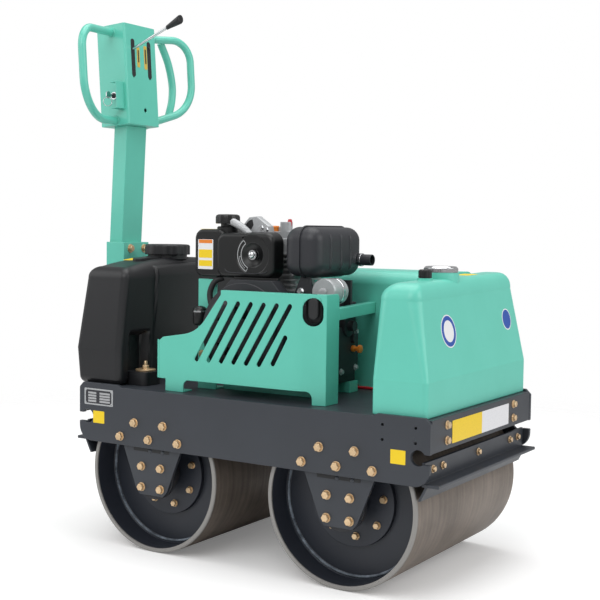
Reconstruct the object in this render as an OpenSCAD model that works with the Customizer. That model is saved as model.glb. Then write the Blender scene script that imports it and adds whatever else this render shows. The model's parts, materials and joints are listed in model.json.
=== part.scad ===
// Walk-behind tandem vibratory roller with an open diesel engine.
// +X points forward, +Y to the machine's left and +Z up. The drums stand on z = 0.

/* [Drums] */
// Outer diameter of each drum
drum_d = 426; // [400:1:460]
// Width of each drum
drum_w = 600; // [540:1:660]
// Thickness of the drum shell
shell_t = 12; // [8:1:14]
// Distance between the two drum axles
wheelbase = 590; // [560:1:640]
// How far each end web sits inside the drum rim
web_inset = 78; // [64:1:100]
// Thickness of each end web
web_t = 12; // [8:1:18]
// Radius of the bolted hub cover on each web
hub_cover_r = 118; // [100:1:130]
// Thickness of the hub cover
hub_cover_t = 14; // [8:1:18]
// Radius of the spindle in each drum hub
spindle_r = 35; // [28:1:42]
// Radial running clearance of each spindle
spindle_gap = 0.06; // [0.03:0.01:0.1]

/* [Frame] */
// Gap between a drum rim and the side plate beside it
rim_gap = 6; // [5:1:12]
// Thickness of each side plate
plate_t = 12; // [8:1:16]
// Height of each side plate
plate_h = 158; // [145:1:170]
// How far the frame reaches past the outermost point of the drums
end_overhang = 38; // [32:1:60]
// Gap between the drums and the deck above them
deck_gap = 12; // [8:1:24]
// Thickness of the deck plate
deck_t = 8; // [5:1:12]
// Thickness of each bolted hub bracket
bracket_t = 10; // [8:1:14]
// Radius of the tie-down hooks in the side plates
hook_r = 19; // [16:1:22]
// Width of the mouth of each tie-down hook
hook_mouth = 24; // [20:1:26]
// Radius of the accessory holes at the front of the side plates
accessory_r = 3.5; // [2.5:0.5:5]
// Height of the front and rear panels
panel_h = 79; // [60:1:90]
// Gap between each scraper blade and its drum
blade_gap = 6; // [5:1:10]

/* [Tanks] */
// Height of the green front tank above the deck
front_tank_h = 329; // [290:1:350]
// Length of the front tank at its foot
front_tank_l = 148; // [140:1:156]
// How far the front of the tank leans back at its top
front_tank_lean = 38; // [20:1:46]
// How far each side of the tank leans in at its top
front_tank_taper = 16; // [8:1:40]
// Height of the black water tank above the deck
water_tank_h = 343; // [330:1:370]
// Length of the water tank at its waist
water_tank_l = 170; // [160:1:176]
// Diameter of the water tank's screw cap
water_cap_d = 120; // [100:1:130]
// Diameter of the fuel cap
fuel_cap_d = 86; // [70:1:95]

/* [Engine] */
// How far the guard's outer face stands inside the side plate
guard_inset = 20; // [8:1:28]
// Height of the guard above the deck
guard_h = 279; // [272:1:300]
// Thickness of the guard's sheet
guard_t = 4; // [3:1:6]
// Width of each slot in the guard
slot_w = 13; // [8:1:16]
// Distance between the slots in the guard
slot_pitch = 40; // [34:1:44]
// Number of long slots in the guard
slot_count = 6; // [4:1:6]
// Diameter of the recoil starter
recoil_d = 220; // [190:1:240]
// Length of the muffler across the machine
muffler_l = 245; // [220:1:260]
// Height of the engine bed rails
bed_h = 30; // [20:1:40]

/* [Handle] */
// Width of the handle post across the machine
post_w = 90; // [80:1:100]
// Depth of the handle post along the machine
post_d = 50; // [44:1:54]
// Length of the handle post above its pivot
post_len = 631; // [560:1:700]
// How far the handle's pivot stands behind the frame
pivot_back = 123; // [115:1:140]
// Forward lean of the stored handle post
post_lean = 3; // [1:0.5:4]
// Radius of the handle's pivot pin
pivot_r = 12; // [8:1:15]
// Radial running clearance on the pivot pin
pivot_gap = 0.06; // [0.03:0.01:0.1]
// Width of the control console
console_w = 143; // [130:1:160]
// Depth of the control console
console_d = 110; // [96:1:120]
// Height of the control console
console_h = 300; // [285:1:330]
// Rearward lean of the console
console_lean = 4; // [0:0.5:6]
// Outer diameter of the grip tubes
grip_d = 26; // [22:1:30]
// Reach of each grip loop from the console's side
grip_reach = 184; // [180:1:220]
// Forward splay of each grip loop
grip_splay = 14; // [8:1:18]

/* [Hidden] */
$fn = 64;
hull_fn = 32;
cut = 1;
seat = 0.3;
mint = "#68cbb8";
charcoal = "#44484f";
steel = "#6e645c";
black = "#26282c";
cast = "#8b8d90";
zinc = "#c8a57a";
chrome = "#d4d6d8";
red = "#b8242c";

// Drum
drum_r = drum_d / 2;
shell_in = drum_r - shell_t;
axle_x = wheelbase / 2;
axle_z = drum_r;
web_out = drum_w / 2 - web_inset;
rim_bevel = 3;
weld = 9;
boss_r = spindle_r + 25;
boss_l = 70;
bore_r = spindle_r + spindle_gap;
hub_face = web_out + hub_cover_t;

// Frame
plate_in = drum_w / 2 + rim_gap;
plate_out = plate_in + plate_t;
deck_z = drum_d + deck_gap + deck_t;
frame_bottom = deck_z - plate_h;
plate_end = axle_x + drum_r + end_overhang;
ear_len = 141;
ear_rise = 6;
ear_bevel = 14;
ear_ramp = 12;
foot_round = 42;
hook_inset = 31;
hook_drop = 89;
mouth_drop = 3;
accessory_inset = 82;
accessory_drop = 37;
accessory_dx = 88;
accessory_dz = 36;
panel_t = 8;
panel_inset = 1;
beam_l = 100;
beam_h = 110;
running_gap = 6;

// Hub bracket outline, columns: half width, height over the axle
bracket_outline = [[75, 165], [112, 122], [112, 105], [54, -40], [40, -56]];
flange_r = 68;
flange_t = 14;
neck_r = 48;
spindle_l = 66;

// Scraper and spray bar
leg_t = 8;
leg_inset = 18;
leg_top = 57;
leg_foot = 7;
ledge_out = 19;
ledge_h = 8;
blade_t = 7;
blade_rise = 39;
spray_r = 11;
spray_drop = 41;
spray_inset = 76;

// Front tank
front_tank_front = plate_end - panel_inset - panel_t - 9;
front_tank_rear = front_tank_front - front_tank_l;
front_tank_y = plate_in - 2;
front_tank_mid = (front_tank_rear + front_tank_front - front_tank_lean) / 2;
band_h = 89;
tank_edge_r = 26;
tank_top_r = 44;
cover_rear = -100;
cover_in = 90;
neck_h = 7;
neck_lip = 6;
fuel_cap_y = -45;
fuel_cap_h = 15;
cap_chamfer = 4;
cap_dish = 3;
oil_cap_d = 33;
oil_cap_h = 24;
oil_cap_y = -135;
oil_cap_ribs = 16;
lead_r = 4;
lead_hole = 17;
lead_hole_x = 108;
lead_hole_deep = 40;
lead_bend = 20;

// Water tank
water_rear = -plate_end - 39;
water_front = water_rear + water_tank_l;
water_y = plate_in - 3;
water_lean = 29;
lean_h = 300;
seam_y = 160;
seam_deep = 9;
niche_y = [180, 258];
niche_h = 144;
niche_deep = 24;
water_cap_x = water_rear + 113;
water_cap_y = -22;
water_cap_h = 30;
water_cap_lobes = 12;
lobe_r = 9;
tether_w = 44;
tether_t = 8;
tether_l = 145;
foot_reach = 58;
foot_round_r = 20;
foot_h = 38;
washer_y = 216;
washer_out = 23;
washer_r = 27;
washer_t = 4;

// Guard outline, columns: distance along the machine, height over the deck
guard_y = plate_in - guard_inset;
guard_shoulder = [[-286, 33], [-286, 136], [-272, 146]];
ramp_start = [-203, 157];
ramp_turn = [9, 53];
ramp_r = 110;
ramp_centre = ramp_start + ramp_r * [-sin(ramp_turn[0]), cos(ramp_turn[0])];
ramp_steps = 8;
ramp_step = (ramp_turn[1] - ramp_turn[0]) / ramp_steps;
ramp = [for (i = [0:ramp_steps]) let (a = ramp_turn[0] + i * ramp_step)
    ramp_centre + ramp_r * [sin(a), -cos(a)]];
guard_top_x = -81;
ramp_top = ramp[ramp_steps][1] + (guard_top_x - ramp[ramp_steps][0]) * tan(ramp_turn[1]);
crease_x = 150;
end_len = 84;
end_turn = 13;
arch_h = 34;
arch_round = 18;
rear_foot = [-264, -203];
front_foot_l = 37;
end_along = [cos(end_turn), sin(end_turn)];
guard_corner = [crease_x, 0] + end_len * end_along;
front_foot = [crease_x + (end_len - front_foot_l) * cos(end_turn), guard_corner[0] + cut];
flange_w = 22;
return_w = 62;
return_round = 12;
tab_w = 40;
slot_top = [-66, 246];
slot_foot = [-159, 93];
short_slot_top = [121, 166];
short_slot_foot = [84, 98];
port_x = 196;
port_w = 54;
port_h = 71;
port_z = 234;
upright_x = -228;
upright_w = 62;
upright_t = 6;
upright_y = -189;
upright_d = 40;
upright_h = 302;
rail_turn = 11;
rail_z = 212;
rail_h = 30;
rail_t = 8;
rail_flange = 24;

// Engine
bed_y = [-140, 0];
bed_w = 44;
bed_x = [-160, 160];
crank_x = [-130, 150];
crank_y = [-190, 44];
crank_h = 214;
crank_round = 30;
case_cover = 10;
case_cover_y = [-160, 20];
case_cover_z = [24, 150];
pump_at = [-40, 154];
pump_r = 14;
pump_l = 34;
dipstick_at = [-10, 118];
dipstick_boss = 13;
cyl_x = [-110, 14];
cyl_y = [-80, 40];
cyl_h = 150;
cyl_round = 20;
fin_t = 5;
fin_pitch = 14;
fin_out = 14;
rocker_h = 40;
rocker_step = 8;
fitting_at = [-28, -56];
fitting_r = 17;
fitting_h = 26;
shroud_t = 45;
shroud_r = 131;
shroud_step = 3;
shroud_neck = [[-89, 305], [42, 305], [84, 262], [84, 166], [-160, 232]];
recoil_x = -48;
recoil_z = 166;
recoil_t = 26;
recoil_rim = 16;
recoil_face = 154;
recoil_vents = 12;
vent = [44, 70];
vent_w = 11;
vent_deep = 9;
cleaner_x = [-144, 45];
cleaner_z = [309, 433];
cleaner_y = [-205, cyl_y[0] - fin_out - seat];
cleaner_round = 26;
cleaner_slope = 12;
dish_at = [-38, 371];
dish_r = 56;
dish_deep = 5;
hub_r = 22;
prefilter_w = 79;
prefilter_back = 6;
intake_at = [-136, -160];
intake_r = [19, 31];
intake_h = [16, 46];
muffler_x = [66, 143];
muffler_z = [322, 442];
muffler_y = [-205, -205 + muffler_l];
muffler_round = 30;
muffler_seam = 107;
seam_t = 4;
flange_out = 4;
rib_y = [-135, -81, -33];
rib_r = 8;
rib_out = 2;
rib_z = [346, 418];
exhaust_y = -20;
exhaust_r = 20;
outlet_r = 15;
outlet_t = 2.5;
outlet_l = 60;
outlet_in = 25;
outlet_z = 360;
starter_r = 31;
starter_x = 165;
starter_y = [-205, -65];
starter_neck = 22;
lug_t = 10;

// Handle
pivot_x = -(plate_end + pivot_back);
pivot_rise = 114;
pivot_z = deck_z + pivot_rise;
cheek_gap = 1.5;
cheek_t = 11;
cheek_in = post_w / 2 + cheek_gap;
cheek_out = cheek_in + cheek_t;
mount_rise = 395;
mount_top = deck_z + mount_rise;
mount_reach = 58;
mount_front = pivot_x + mount_reach;
mount_web = 8;
web_foot = 30;
toe_drop = 6;
eye_back = 36;
eye_top = 40;
eye_foot = 50;
neck_l = 70;
neck_drop = 80;
pad_w = 60;
pad_z = [360, 390];
console_t = 3;
eye_step = 1;
console_round = 6;
console_x = pivot_x + post_len * sin(post_lean);
console_z = pivot_z + post_len * cos(post_lean);
lever_slot_y = 37;
lever_slot_w = 10;
lever_slot_z = [146, 248];
plug_hole = [9, 46];
plug_hole_r = 6;
lever_z = 202;
lever_rise = 24;
lever_rod_r = 4;
lever_rod_l = 200;
lever_knob_l = 58;
lever_knob_r = [6, 13];
stub_l = 68;
shaft_r = 8;
grip_r = grip_d / 2;
grip_top = 277;
grip_foot = 14;
grip_top_r = 65;
grip_foot_r = 110;
grip_x = 4;
brace_x = 6;
brace_centre = [-19, 133];
brace_r = 227;
brace_arc = [-30, 39];
key_x = [-2, 34];
key_z = [45, 125];
key_d = 28;
key_t = 3;
switch_r = 11;
switch_l = 17;

// The origin lies under the middle of the overall length
front_reach = plate_end + ledge_out;
rear_reach = console_x - console_d / 2 * cos(console_lean) - console_h * sin(console_lean);
origin_x = -(front_reach + rear_reach) / 2;

// Moves the machine so that its origin is under the middle of its length
module place() translate([origin_x, 0, 0]) children();

// Reflects a left-hand piece to the right, or a front piece to the rear
module on_side(side) mirror([0, side < 0 ? 1 : 0, 0]) children();
module at_end(end) mirror([end < 0 ? 1 : 0, 0, 0]) children();

// Extrudes an outline drawn in x and z from y0 over thickness t
module from_side(y0, t) translate([0, y0 + t, 0]) rotate([90, 0, 0]) linear_extrude(t) children();

// Extrudes an outline drawn in y and z from x0 over thickness t
module from_front(x0, t) translate([x0, 0, 0]) rotate([90, 0, 90]) linear_extrude(t) children();

// Round bars along the machine and across it
module rod_x(x0, x1, y, z, r) translate([x0, y, z]) rotate([0, 90, 0]) cylinder(r = r, h = x1 - x0);
module rod_y(y0, y1, x, z, r) translate([x, y1, z]) rotate([90, 0, 0]) cylinder(r = r, h = y1 - y0);

// Block between two corners
module block(x, y, z) translate([x[0], y[0], z[0]]) cube([x[1] - x[0], y[1] - y[0], z[1] - z[0]]);

// Rectangle between two corners with rounded corners
module rounded_rect(a, b, r) {
    translate([a[0] + r, a[1]]) square([b[0] - a[0] - 2 * r, b[1] - a[1]]);
    translate([a[0], a[1] + r]) square([b[0] - a[0], b[1] - a[1] - 2 * r]);
    for (u = [a[0] + r, b[0] - r], v = [a[1] + r, b[1] - r])
        translate([u, v]) circle(r);
}

// Long hole of width w between two end centres
module slot(p, q, w) {
    run = norm(q - p);
    translate(p) rotate(atan2(q[1] - p[1], q[0] - p[0])) {
        translate([0, -w / 2]) square([run, w]);
        circle(w / 2);
        translate([run, 0]) circle(w / 2);
    }
}

// What a rounded outer corner cuts from a square one
module corner_cut(r) difference() {
    translate([0, -cut]) square([r + cut, r + cut]);
    translate([0, r]) circle(r);
}

// Drums
module drum_half() {
    translate([bore_r, web_out - boss_l]) square([boss_r - bore_r, boss_l]);
    translate([bore_r, web_out - web_t]) square([shell_in + cut - bore_r, web_t]);
    translate([bore_r, web_out]) square([hub_cover_r - bore_r, hub_cover_t]);
    polygon([[shell_in + cut, web_out], [shell_in + cut, web_out + weld],
             [shell_in, web_out + weld], [shell_in - weld, web_out]]);
    polygon([[shell_in, -cut], [drum_r, -cut], [drum_r, drum_w / 2 - rim_bevel],
             [drum_r - rim_bevel, drum_w / 2], [shell_in, drum_w / 2]]);
}

module drum(end) color(steel) translate([end * axle_x, 0, axle_z]) rotate([90, 0, 0])
    rotate_extrude($fn = 128) {
        drum_half();
        mirror([0, 1]) drum_half();
    }

module axle(end, side) color(black) on_side(side) {
    mount_y = plate_in - bracket_t;
    rod_y(mount_y - flange_t, mount_y, end * axle_x, axle_z, flange_r);
    rod_y(hub_face + running_gap, mount_y - flange_t, end * axle_x, axle_z, neck_r);
    rod_y(hub_face - spindle_l, hub_face + running_gap, end * axle_x, axle_z, spindle_r);
}

module hub_bracket(end, side) color(charcoal) on_side(side)
    from_side(plate_in - bracket_t, bracket_t) translate([end * axle_x, axle_z])
        polygon(concat(bracket_outline,
            [for (i = [len(bracket_outline) - 1:-1:0]) [-bracket_outline[i][0], bracket_outline[i][1]]]));

// Frame
module plate_end_cuts() {
    translate([plate_end - foot_round, frame_bottom]) corner_cut(foot_round);
    polygon([[plate_end + cut, deck_z + ear_rise + cut], [plate_end - ear_bevel, deck_z + ear_rise + cut],
             [plate_end - ear_bevel, deck_z + ear_rise], [plate_end, deck_z + ear_rise - ear_bevel],
             [plate_end + cut, deck_z + ear_rise - ear_bevel]]);
    translate([plate_end - hook_inset, deck_z - hook_drop]) {
        circle(hook_r);
        translate([0, -mouth_drop - hook_mouth / 2]) square([hook_inset + cut, hook_mouth]);
    }
}

module side_plate(side) color(charcoal) on_side(side) from_side(plate_in, plate_t) difference() {
    ear_z = deck_z + ear_rise;
    polygon([[-plate_end, frame_bottom], [plate_end, frame_bottom], [plate_end, ear_z],
             [plate_end - ear_len, ear_z], [plate_end - ear_len - ear_ramp, deck_z],
             [ear_len + ear_ramp - plate_end, deck_z], [ear_len - plate_end, ear_z], [-plate_end, ear_z]]);
    plate_end_cuts();
    mirror([1, 0]) plate_end_cuts();
    for (dx = [-1, 1], dz = [-1, 1])
        translate([plate_end - accessory_inset + dx * accessory_dx / 2,
                   deck_z - accessory_drop + dz * accessory_dz / 2]) circle(accessory_r, $fn = 24);
}

module end_panel(end) color(charcoal) at_end(end)
    block([plate_end - panel_inset - panel_t, plate_end - panel_inset], [-plate_in, plate_in],
          [deck_z - panel_h, deck_z]);

module deck() color(charcoal)
    block([-1, 1] * (plate_end - panel_inset - panel_t), [-plate_in, plate_in], [deck_z - deck_t, deck_z]);

module cross_beam() color(charcoal)
    block([-beam_l / 2, beam_l / 2], [-plate_in, plate_in], [deck_z - deck_t - beam_h, deck_z - deck_t]);

module scraper(end) color(charcoal) at_end(end) from_side(-plate_in, 2 * plate_in) {
    leg_x = plate_end - leg_inset;
    ledge_z = frame_bottom + leg_foot;
    tip_x = axle_x + sqrt(pow(drum_r + blade_gap, 2) - pow(blade_rise, 2));
    tip_z = axle_z + blade_rise;
    polygon([[leg_x - leg_t, frame_bottom + leg_top], [leg_x, frame_bottom + leg_top], [leg_x, ledge_z],
             [plate_end + ledge_out, ledge_z], [plate_end + ledge_out, ledge_z - ledge_h],
             [leg_x + blade_t, ledge_z - ledge_h], [tip_x + blade_t, tip_z], [tip_x, tip_z],
             [leg_x, ledge_z - ledge_h], [leg_x - leg_t, ledge_z - ledge_h]]);
}

module spray_bar(end) color(black)
    rod_y(-plate_in, plate_in, end * (plate_end - spray_inset), deck_z - spray_drop, spray_r);

// Tanks
module front_tank() color(mint) {
    top_z = deck_z + front_tank_h - tank_top_r;
    hull() {
        for (x = [front_tank_rear + tank_edge_r, front_tank_front - tank_edge_r], s = [-1, 1])
            translate([x, s * (front_tank_y - tank_edge_r), deck_z])
                cylinder(r = tank_edge_r, h = band_h, $fn = hull_fn);
        for (x = [front_tank_rear + tank_top_r, front_tank_front - front_tank_lean - tank_top_r], s = [-1, 1])
            translate([x, s * (front_tank_y - front_tank_taper - tank_top_r), top_z])
                sphere(tank_top_r, $fn = hull_fn);
    }
    for (boss = [[fuel_cap_y, fuel_cap_d], [oil_cap_y, oil_cap_d]])
        translate([front_tank_mid, boss[0], top_z]) cylinder(d = boss[1] + neck_lip, h = tank_top_r + neck_h);
}

module side_cover() color(mint) difference() {
    hull() {
        top_z = deck_z + front_tank_h - tank_top_r;
        far_y = front_tank_y - front_tank_taper - tank_top_r;
        for (x = [cover_rear + tank_edge_r, front_tank_rear + tank_top_r],
             y = [cover_in + tank_edge_r, front_tank_y - tank_edge_r])
            translate([x, y, deck_z]) cylinder(r = tank_edge_r, h = band_h, $fn = hull_fn);
        for (x = [cover_rear + tank_top_r, front_tank_rear + tank_top_r], y = [cover_in + tank_top_r, far_y])
            translate([x, y, top_z]) sphere(tank_top_r, $fn = hull_fn);
    }
    block([front_tank_rear, front_tank_rear + 3 * tank_top_r], [0, plate_out],
          [deck_z - cut, deck_z + front_tank_h + cut]);
    rod_y(cover_in - cut, cover_in + lead_hole_deep, lead_hole_x, deck_z, lead_hole);
}

module fuel_cap() color(chrome) translate([front_tank_mid, fuel_cap_y, deck_z + front_tank_h + neck_h])
    let (r = fuel_cap_d / 2)
        rotate_extrude()
            polygon([[0, 0], [r, 0], [r, fuel_cap_h - cap_chamfer], [r - cap_chamfer, fuel_cap_h],
                     [r - 2 * cap_chamfer, fuel_cap_h], [r - 3 * cap_chamfer, fuel_cap_h - cap_dish],
                     [0, fuel_cap_h - cap_dish]]);

module oil_cap() color(black) translate([front_tank_mid, oil_cap_y, deck_z + front_tank_h + neck_h]) {
    cylinder(d = oil_cap_d - cap_chamfer, h = oil_cap_h);
    for (i = [1:oil_cap_ribs]) rotate(i * 360 / oil_cap_ribs)
        translate([oil_cap_d / 2 - cap_chamfer, -cut, cap_chamfer])
            cube([cap_chamfer, 2 * cut, oil_cap_h - 2 * cap_chamfer]);
}

// Lead along the foot of the side cover, from its hole to the rear of the front tank
module battery_lead() color(red) translate([0, 0, deck_z + lead_r]) {
    bend_x = lead_hole_x + lead_bend;
    lead_y = cover_in - lead_bend;
    rod_x(bend_x, front_tank_rear - seat, lead_y, 0, lead_r);
    translate([bend_x, cover_in, 0]) rotate(180)
        rotate_extrude(angle = 90) translate([lead_bend, 0]) circle(lead_r);
    rod_y(cover_in, cover_in + lead_hole_deep - seat, lead_hole_x, 0, lead_r);
}

// Water tank, each row a pair of rounded corners with columns: x at the rear, x at the front,
// distance from the centre plane, height of the top of the corner, radius
water_corners = [
    [water_rear + 7, water_front - 2, water_y - 3, 40, 20],
    [water_rear, water_front, water_y, 124, 24],
    [water_rear + 26, water_front + 25, water_y - 15, lean_h, 36],
    [water_rear + 33, water_front + water_lean, water_y - 25, water_tank_h - 25, 40],
    [water_rear + 33, water_front + water_lean, seam_y + 20, water_tank_h - 8, 40],
    [water_rear + 33, water_front + water_lean, seam_y / 2, water_tank_h, 40]
];

module water_tank() color(black) difference() {
    hull() for (c = water_corners, s = [-1, 1], x = [c[0] + c[4], c[1] - c[4]])
        translate([x, s * (c[2] - c[4]), deck_z + c[3] - c[4]]) sphere(c[4], $fn = hull_fn);
    seam_foot = water_front - seam_deep;
    seam_top = seam_foot + water_lean;
    seam_out = water_front + 2 * water_lean;
    from_side(-seam_y, 2 * seam_y)
        polygon([[seam_foot, deck_z - cut], [seam_top, deck_z + lean_h],
                 [seam_top, deck_z + water_tank_h + cut], [seam_out, deck_z + water_tank_h + cut],
                 [seam_out, deck_z - cut]]);
    for (s = [-1, 1]) on_side(s)
        block([water_front - niche_deep, water_front + 2 * niche_deep], niche_y,
              [deck_z - cut, deck_z + niche_h]);
}

module water_cap() color(black) translate([water_cap_x, water_cap_y, deck_z + water_tank_h]) {
    lobe_at = water_cap_d / 2 - lobe_r;
    cylinder(d = water_cap_d - 2 * lobe_r, h = neck_h);
    translate([0, 0, neck_h]) {
        cylinder(r = lobe_at + lobe_r / 2, h = water_cap_h);
        for (i = [1:water_cap_lobes]) rotate(i * 360 / water_cap_lobes) translate([lobe_at, 0, 0])
            cylinder(r = lobe_r, h = water_cap_h - cap_chamfer);
        linear_extrude(tether_t) slot([0, 0], [0, -tether_l + tether_w / 2], tether_w);
    }
}

module tank_feet() for (s = [-1, 1]) on_side(s) translate([water_front - niche_deep + seat, 0, deck_z]) {
    color(black) linear_extrude(foot_h)
        rounded_rect([0, niche_y[0] + seat], [niche_deep + foot_reach, niche_y[1] - seat], foot_round_r);
    color(zinc) translate([niche_deep + washer_out, washer_y, foot_h]) cylinder(r = washer_r, h = washer_t);
}

// Engine guard, seen from the side
module guard_outline() difference() {
    union() {
        polygon(concat(guard_shoulder, ramp,
                       [[guard_top_x, ramp_top], [guard_top_x, guard_h], [guard_corner[0] + cut, guard_h],
                        [guard_corner[0] + cut, arch_h]]));
        for (foot = [rear_foot, front_foot])
            translate([foot[0], 0]) square([foot[1] - foot[0], arch_h + cut]);
        arch_fillet(rear_foot[1], 0);
        arch_fillet(front_foot[0], 1);
    }
    for (i = [0:slot_count - 1])
        slot(slot_foot + [i * slot_pitch, 0], slot_top + [i * slot_pitch, 0], slot_w);
    slot(short_slot_foot, short_slot_top, slot_w);
    slot([port_x, port_z - (port_h - port_w) / 2], [port_x, port_z + (port_h - port_w) / 2], port_w);
}

module arch_fillet(x, turned) translate([x, arch_h]) mirror([turned, 0]) difference() {
    translate([-cut, -arch_round]) square([arch_round + cut, arch_round + cut]);
    translate([arch_round, -arch_round]) circle(arch_round);
}

// The bent sheet seen from above, from the rear flange to the front return
module guard_plan() {
    rear_x = guard_shoulder[0][0];
    mitre_x = crease_x - guard_t * tan(end_turn / 2);
    inner_x = guard_corner[0] - guard_t;
    polygon([[rear_x, flange_w], [rear_x, 0], [crease_x, 0], guard_corner, guard_corner + [0, return_w],
             [inner_x, guard_corner[1] + return_w], [inner_x, guard_t + (inner_x - mitre_x) * tan(end_turn)],
             [mitre_x, guard_t], [rear_x + guard_t, guard_t], [rear_x + guard_t, flange_w]]);
}

// Strip folded in along the guard's top edge
module guard_lip() {
    middle = guard_t / 2;
    end_x = guard_corner[0] - middle;
    polygon([[guard_top_x, middle], [crease_x, middle], [end_x, middle + (end_x - crease_x) * tan(end_turn)],
             [end_x, guard_corner[1] + flange_w], [crease_x - flange_w * tan(end_turn / 2), flange_w],
             [guard_top_x, flange_w]]);
}

module guard() color(mint) translate([0, -guard_y, deck_z]) {
    difference() {
        intersection() {
            linear_extrude(guard_h) guard_plan();
            from_side(-cut, end_len + return_w) guard_outline();
        }
        from_front(guard_corner[0] - 2 * guard_t, 3 * guard_t)
            translate([guard_corner[1] + return_w - return_round, guard_h])
                mirror([0, 1]) corner_cut(return_round);
    }
    translate([0, 0, guard_h - guard_t]) linear_extrude(guard_t) guard_lip();
    block(rear_foot, [guard_t / 2, tab_w], [0, guard_t]);
    translate(concat(guard_corner, 0)) rotate(end_turn)
        block([-front_foot_l, -guard_t / 2], [guard_t / 2, tab_w], [0, guard_t]);
}

module guard_upright() color(mint) translate([upright_x, upright_y, deck_z]) {
    block([0, upright_w], [0, upright_t], [0, upright_h]);
    block([0, upright_t], [0, upright_d], [0, upright_h]);
    block([0, upright_w], [0, upright_d], [0, upright_t]);
}

// Angle rail from the guard's return to the side cover
module cross_rail() color(mint) {
    start = [guard_corner[0], guard_corner[1] + return_w - guard_y];
    run = cover_in - start[1];
    for (leg = [[rail_t / cos(rail_turn), rail_z], [rail_flange, rail_z + rail_h - rail_t]])
        translate([start[0], start[1], deck_z + leg[1]]) linear_extrude(rail_z + rail_h - leg[1])
            polygon([[0, 0], [-run * tan(rail_turn), run], [-run * tan(rail_turn) - leg[0], run],
                     [-leg[0], 0]]);
}

// Engine
module engine_bed() color(mint) for (y = bed_y)
    block(bed_x, [y - bed_w / 2, y + bed_w / 2], [deck_z, deck_z + bed_h]);

module crankcase() color(cast) translate([0, 0, deck_z + bed_h]) {
    linear_extrude(crank_h) rounded_rect([crank_x[0], crank_y[0]], [crank_x[1], crank_y[1]], crank_round);
    from_front(crank_x[1] - cut, case_cover + cut)
        rounded_rect([case_cover_y[0], case_cover_z[0]], [case_cover_y[1], case_cover_z[1]], crank_round);
    rod_x(crank_x[1] - cut, crank_x[1] + pump_l, pump_at[0], pump_at[1], pump_r);
    rod_x(crank_x[1] - cut, crank_x[1] + pump_l / 2, pump_at[0], pump_at[1], 2 * pump_r);
    rod_x(crank_x[1] - cut, crank_x[1] + 2 * case_cover, dipstick_at[0], dipstick_at[1], dipstick_boss);
    block([crank_x[1] - crank_round, starter_x + lug_t / 2],
          [starter_y[1] + starter_neck + seat, starter_y[1] + starter_neck + lug_t],
          [crank_h - crank_round, crank_h + 2 * starter_r]);
}

module cylinder_block() color(cast) translate([0, 0, deck_z + bed_h + crank_h]) {
    linear_extrude(cyl_h) rounded_rect([cyl_x[0], cyl_y[0]], [cyl_x[1], cyl_y[1]], cyl_round);
    for (z = [fin_pitch:fin_pitch:cyl_h - fin_pitch])
        translate([0, 0, z]) linear_extrude(fin_t)
            rounded_rect([cyl_x[0], cyl_y[0]] - [1, 1] * fin_out, [cyl_x[1], cyl_y[1]] + [1, 1] * fin_out,
                         cyl_round);
}

module rocker_cover() color(cast) translate([0, 0, deck_z + bed_h + crank_h + cyl_h]) {
    linear_extrude(rocker_h / 2) rounded_rect([cyl_x[0], cyl_y[0]], [cyl_x[1], cyl_y[1]], cyl_round);
    linear_extrude(rocker_h)
        rounded_rect([cyl_x[0], cyl_y[0]] + [1, 1] * rocker_step, [cyl_x[1], cyl_y[1]] - [1, 1] * rocker_step,
                     cyl_round - rocker_step);
    translate([fitting_at[0], fitting_at[1], 0]) cylinder(r = fitting_r, h = rocker_h + fitting_h);
}

module fan_shroud() color(black) translate([0, 0, deck_z]) {
    rod_y(crank_y[0] - shroud_t, crank_y[0], recoil_x, recoil_z, shroud_r);
    from_side(crank_y[0] - shroud_t + shroud_step, shroud_t - 2 * shroud_step) polygon(shroud_neck);
}

module recoil_starter() color(black)
    translate([recoil_x, crank_y[0] - shroud_t, deck_z + recoil_z]) rotate([90, 0, 0]) difference() {
        rotate_extrude() polygon([[0, 0], [recoil_d / 2, 0], [recoil_d / 2, recoil_rim],
                                  [recoil_face / 2, recoil_t], [0, recoil_t]]);
        for (i = [1:recoil_vents]) rotate(i * 360 / recoil_vents)
            translate([vent[0], -vent_w / 2, recoil_t - vent_deep])
                cube([vent[1] - vent[0], vent_w, vent_deep + cut]);
    }

// Air cleaner with a sloped cover, a round dish in its face, the smaller box beside it and the intake on top
module air_cleaner() color(black) translate([0, 0, deck_z]) {
    difference() {
        hull() {
            from_side(cleaner_y[0] + cleaner_slope, cleaner_y[1] - cleaner_y[0] - cleaner_slope)
                rounded_rect([cleaner_x[0], cleaner_z[0]], [cleaner_x[1], cleaner_z[1]],
                             cleaner_round, $fn = hull_fn);
            from_side(cleaner_y[0], cleaner_slope)
                rounded_rect([cleaner_x[0], cleaner_z[0]] + [1, 1] * cleaner_slope,
                             [cleaner_x[1], cleaner_z[1]] - [1, 1] * cleaner_slope,
                             cleaner_round, $fn = hull_fn);
        }
        rod_y(cleaner_y[0] - cut, cleaner_y[0] + dish_deep, dish_at[0], dish_at[1], dish_r);
    }
    rod_y(cleaner_y[0], cleaner_y[0] + dish_deep + cut, dish_at[0], dish_at[1], hub_r);
    from_side(cleaner_y[0] + prefilter_back, cleaner_y[1] - cleaner_y[0] - prefilter_back)
        rounded_rect([cleaner_x[0] - prefilter_w, cleaner_z[0]], [cleaner_x[0] + cleaner_round, cleaner_z[1]],
                     cleaner_round);
    translate([intake_at[0], intake_at[1], cleaner_z[1] - cut]) {
        cylinder(r = intake_r[0], h = intake_h[0] + 2 * cut);
        translate([0, 0, intake_h[0] + cut]) cylinder(r = intake_r[1], h = intake_h[1] - intake_h[0]);
    }
}

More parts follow.
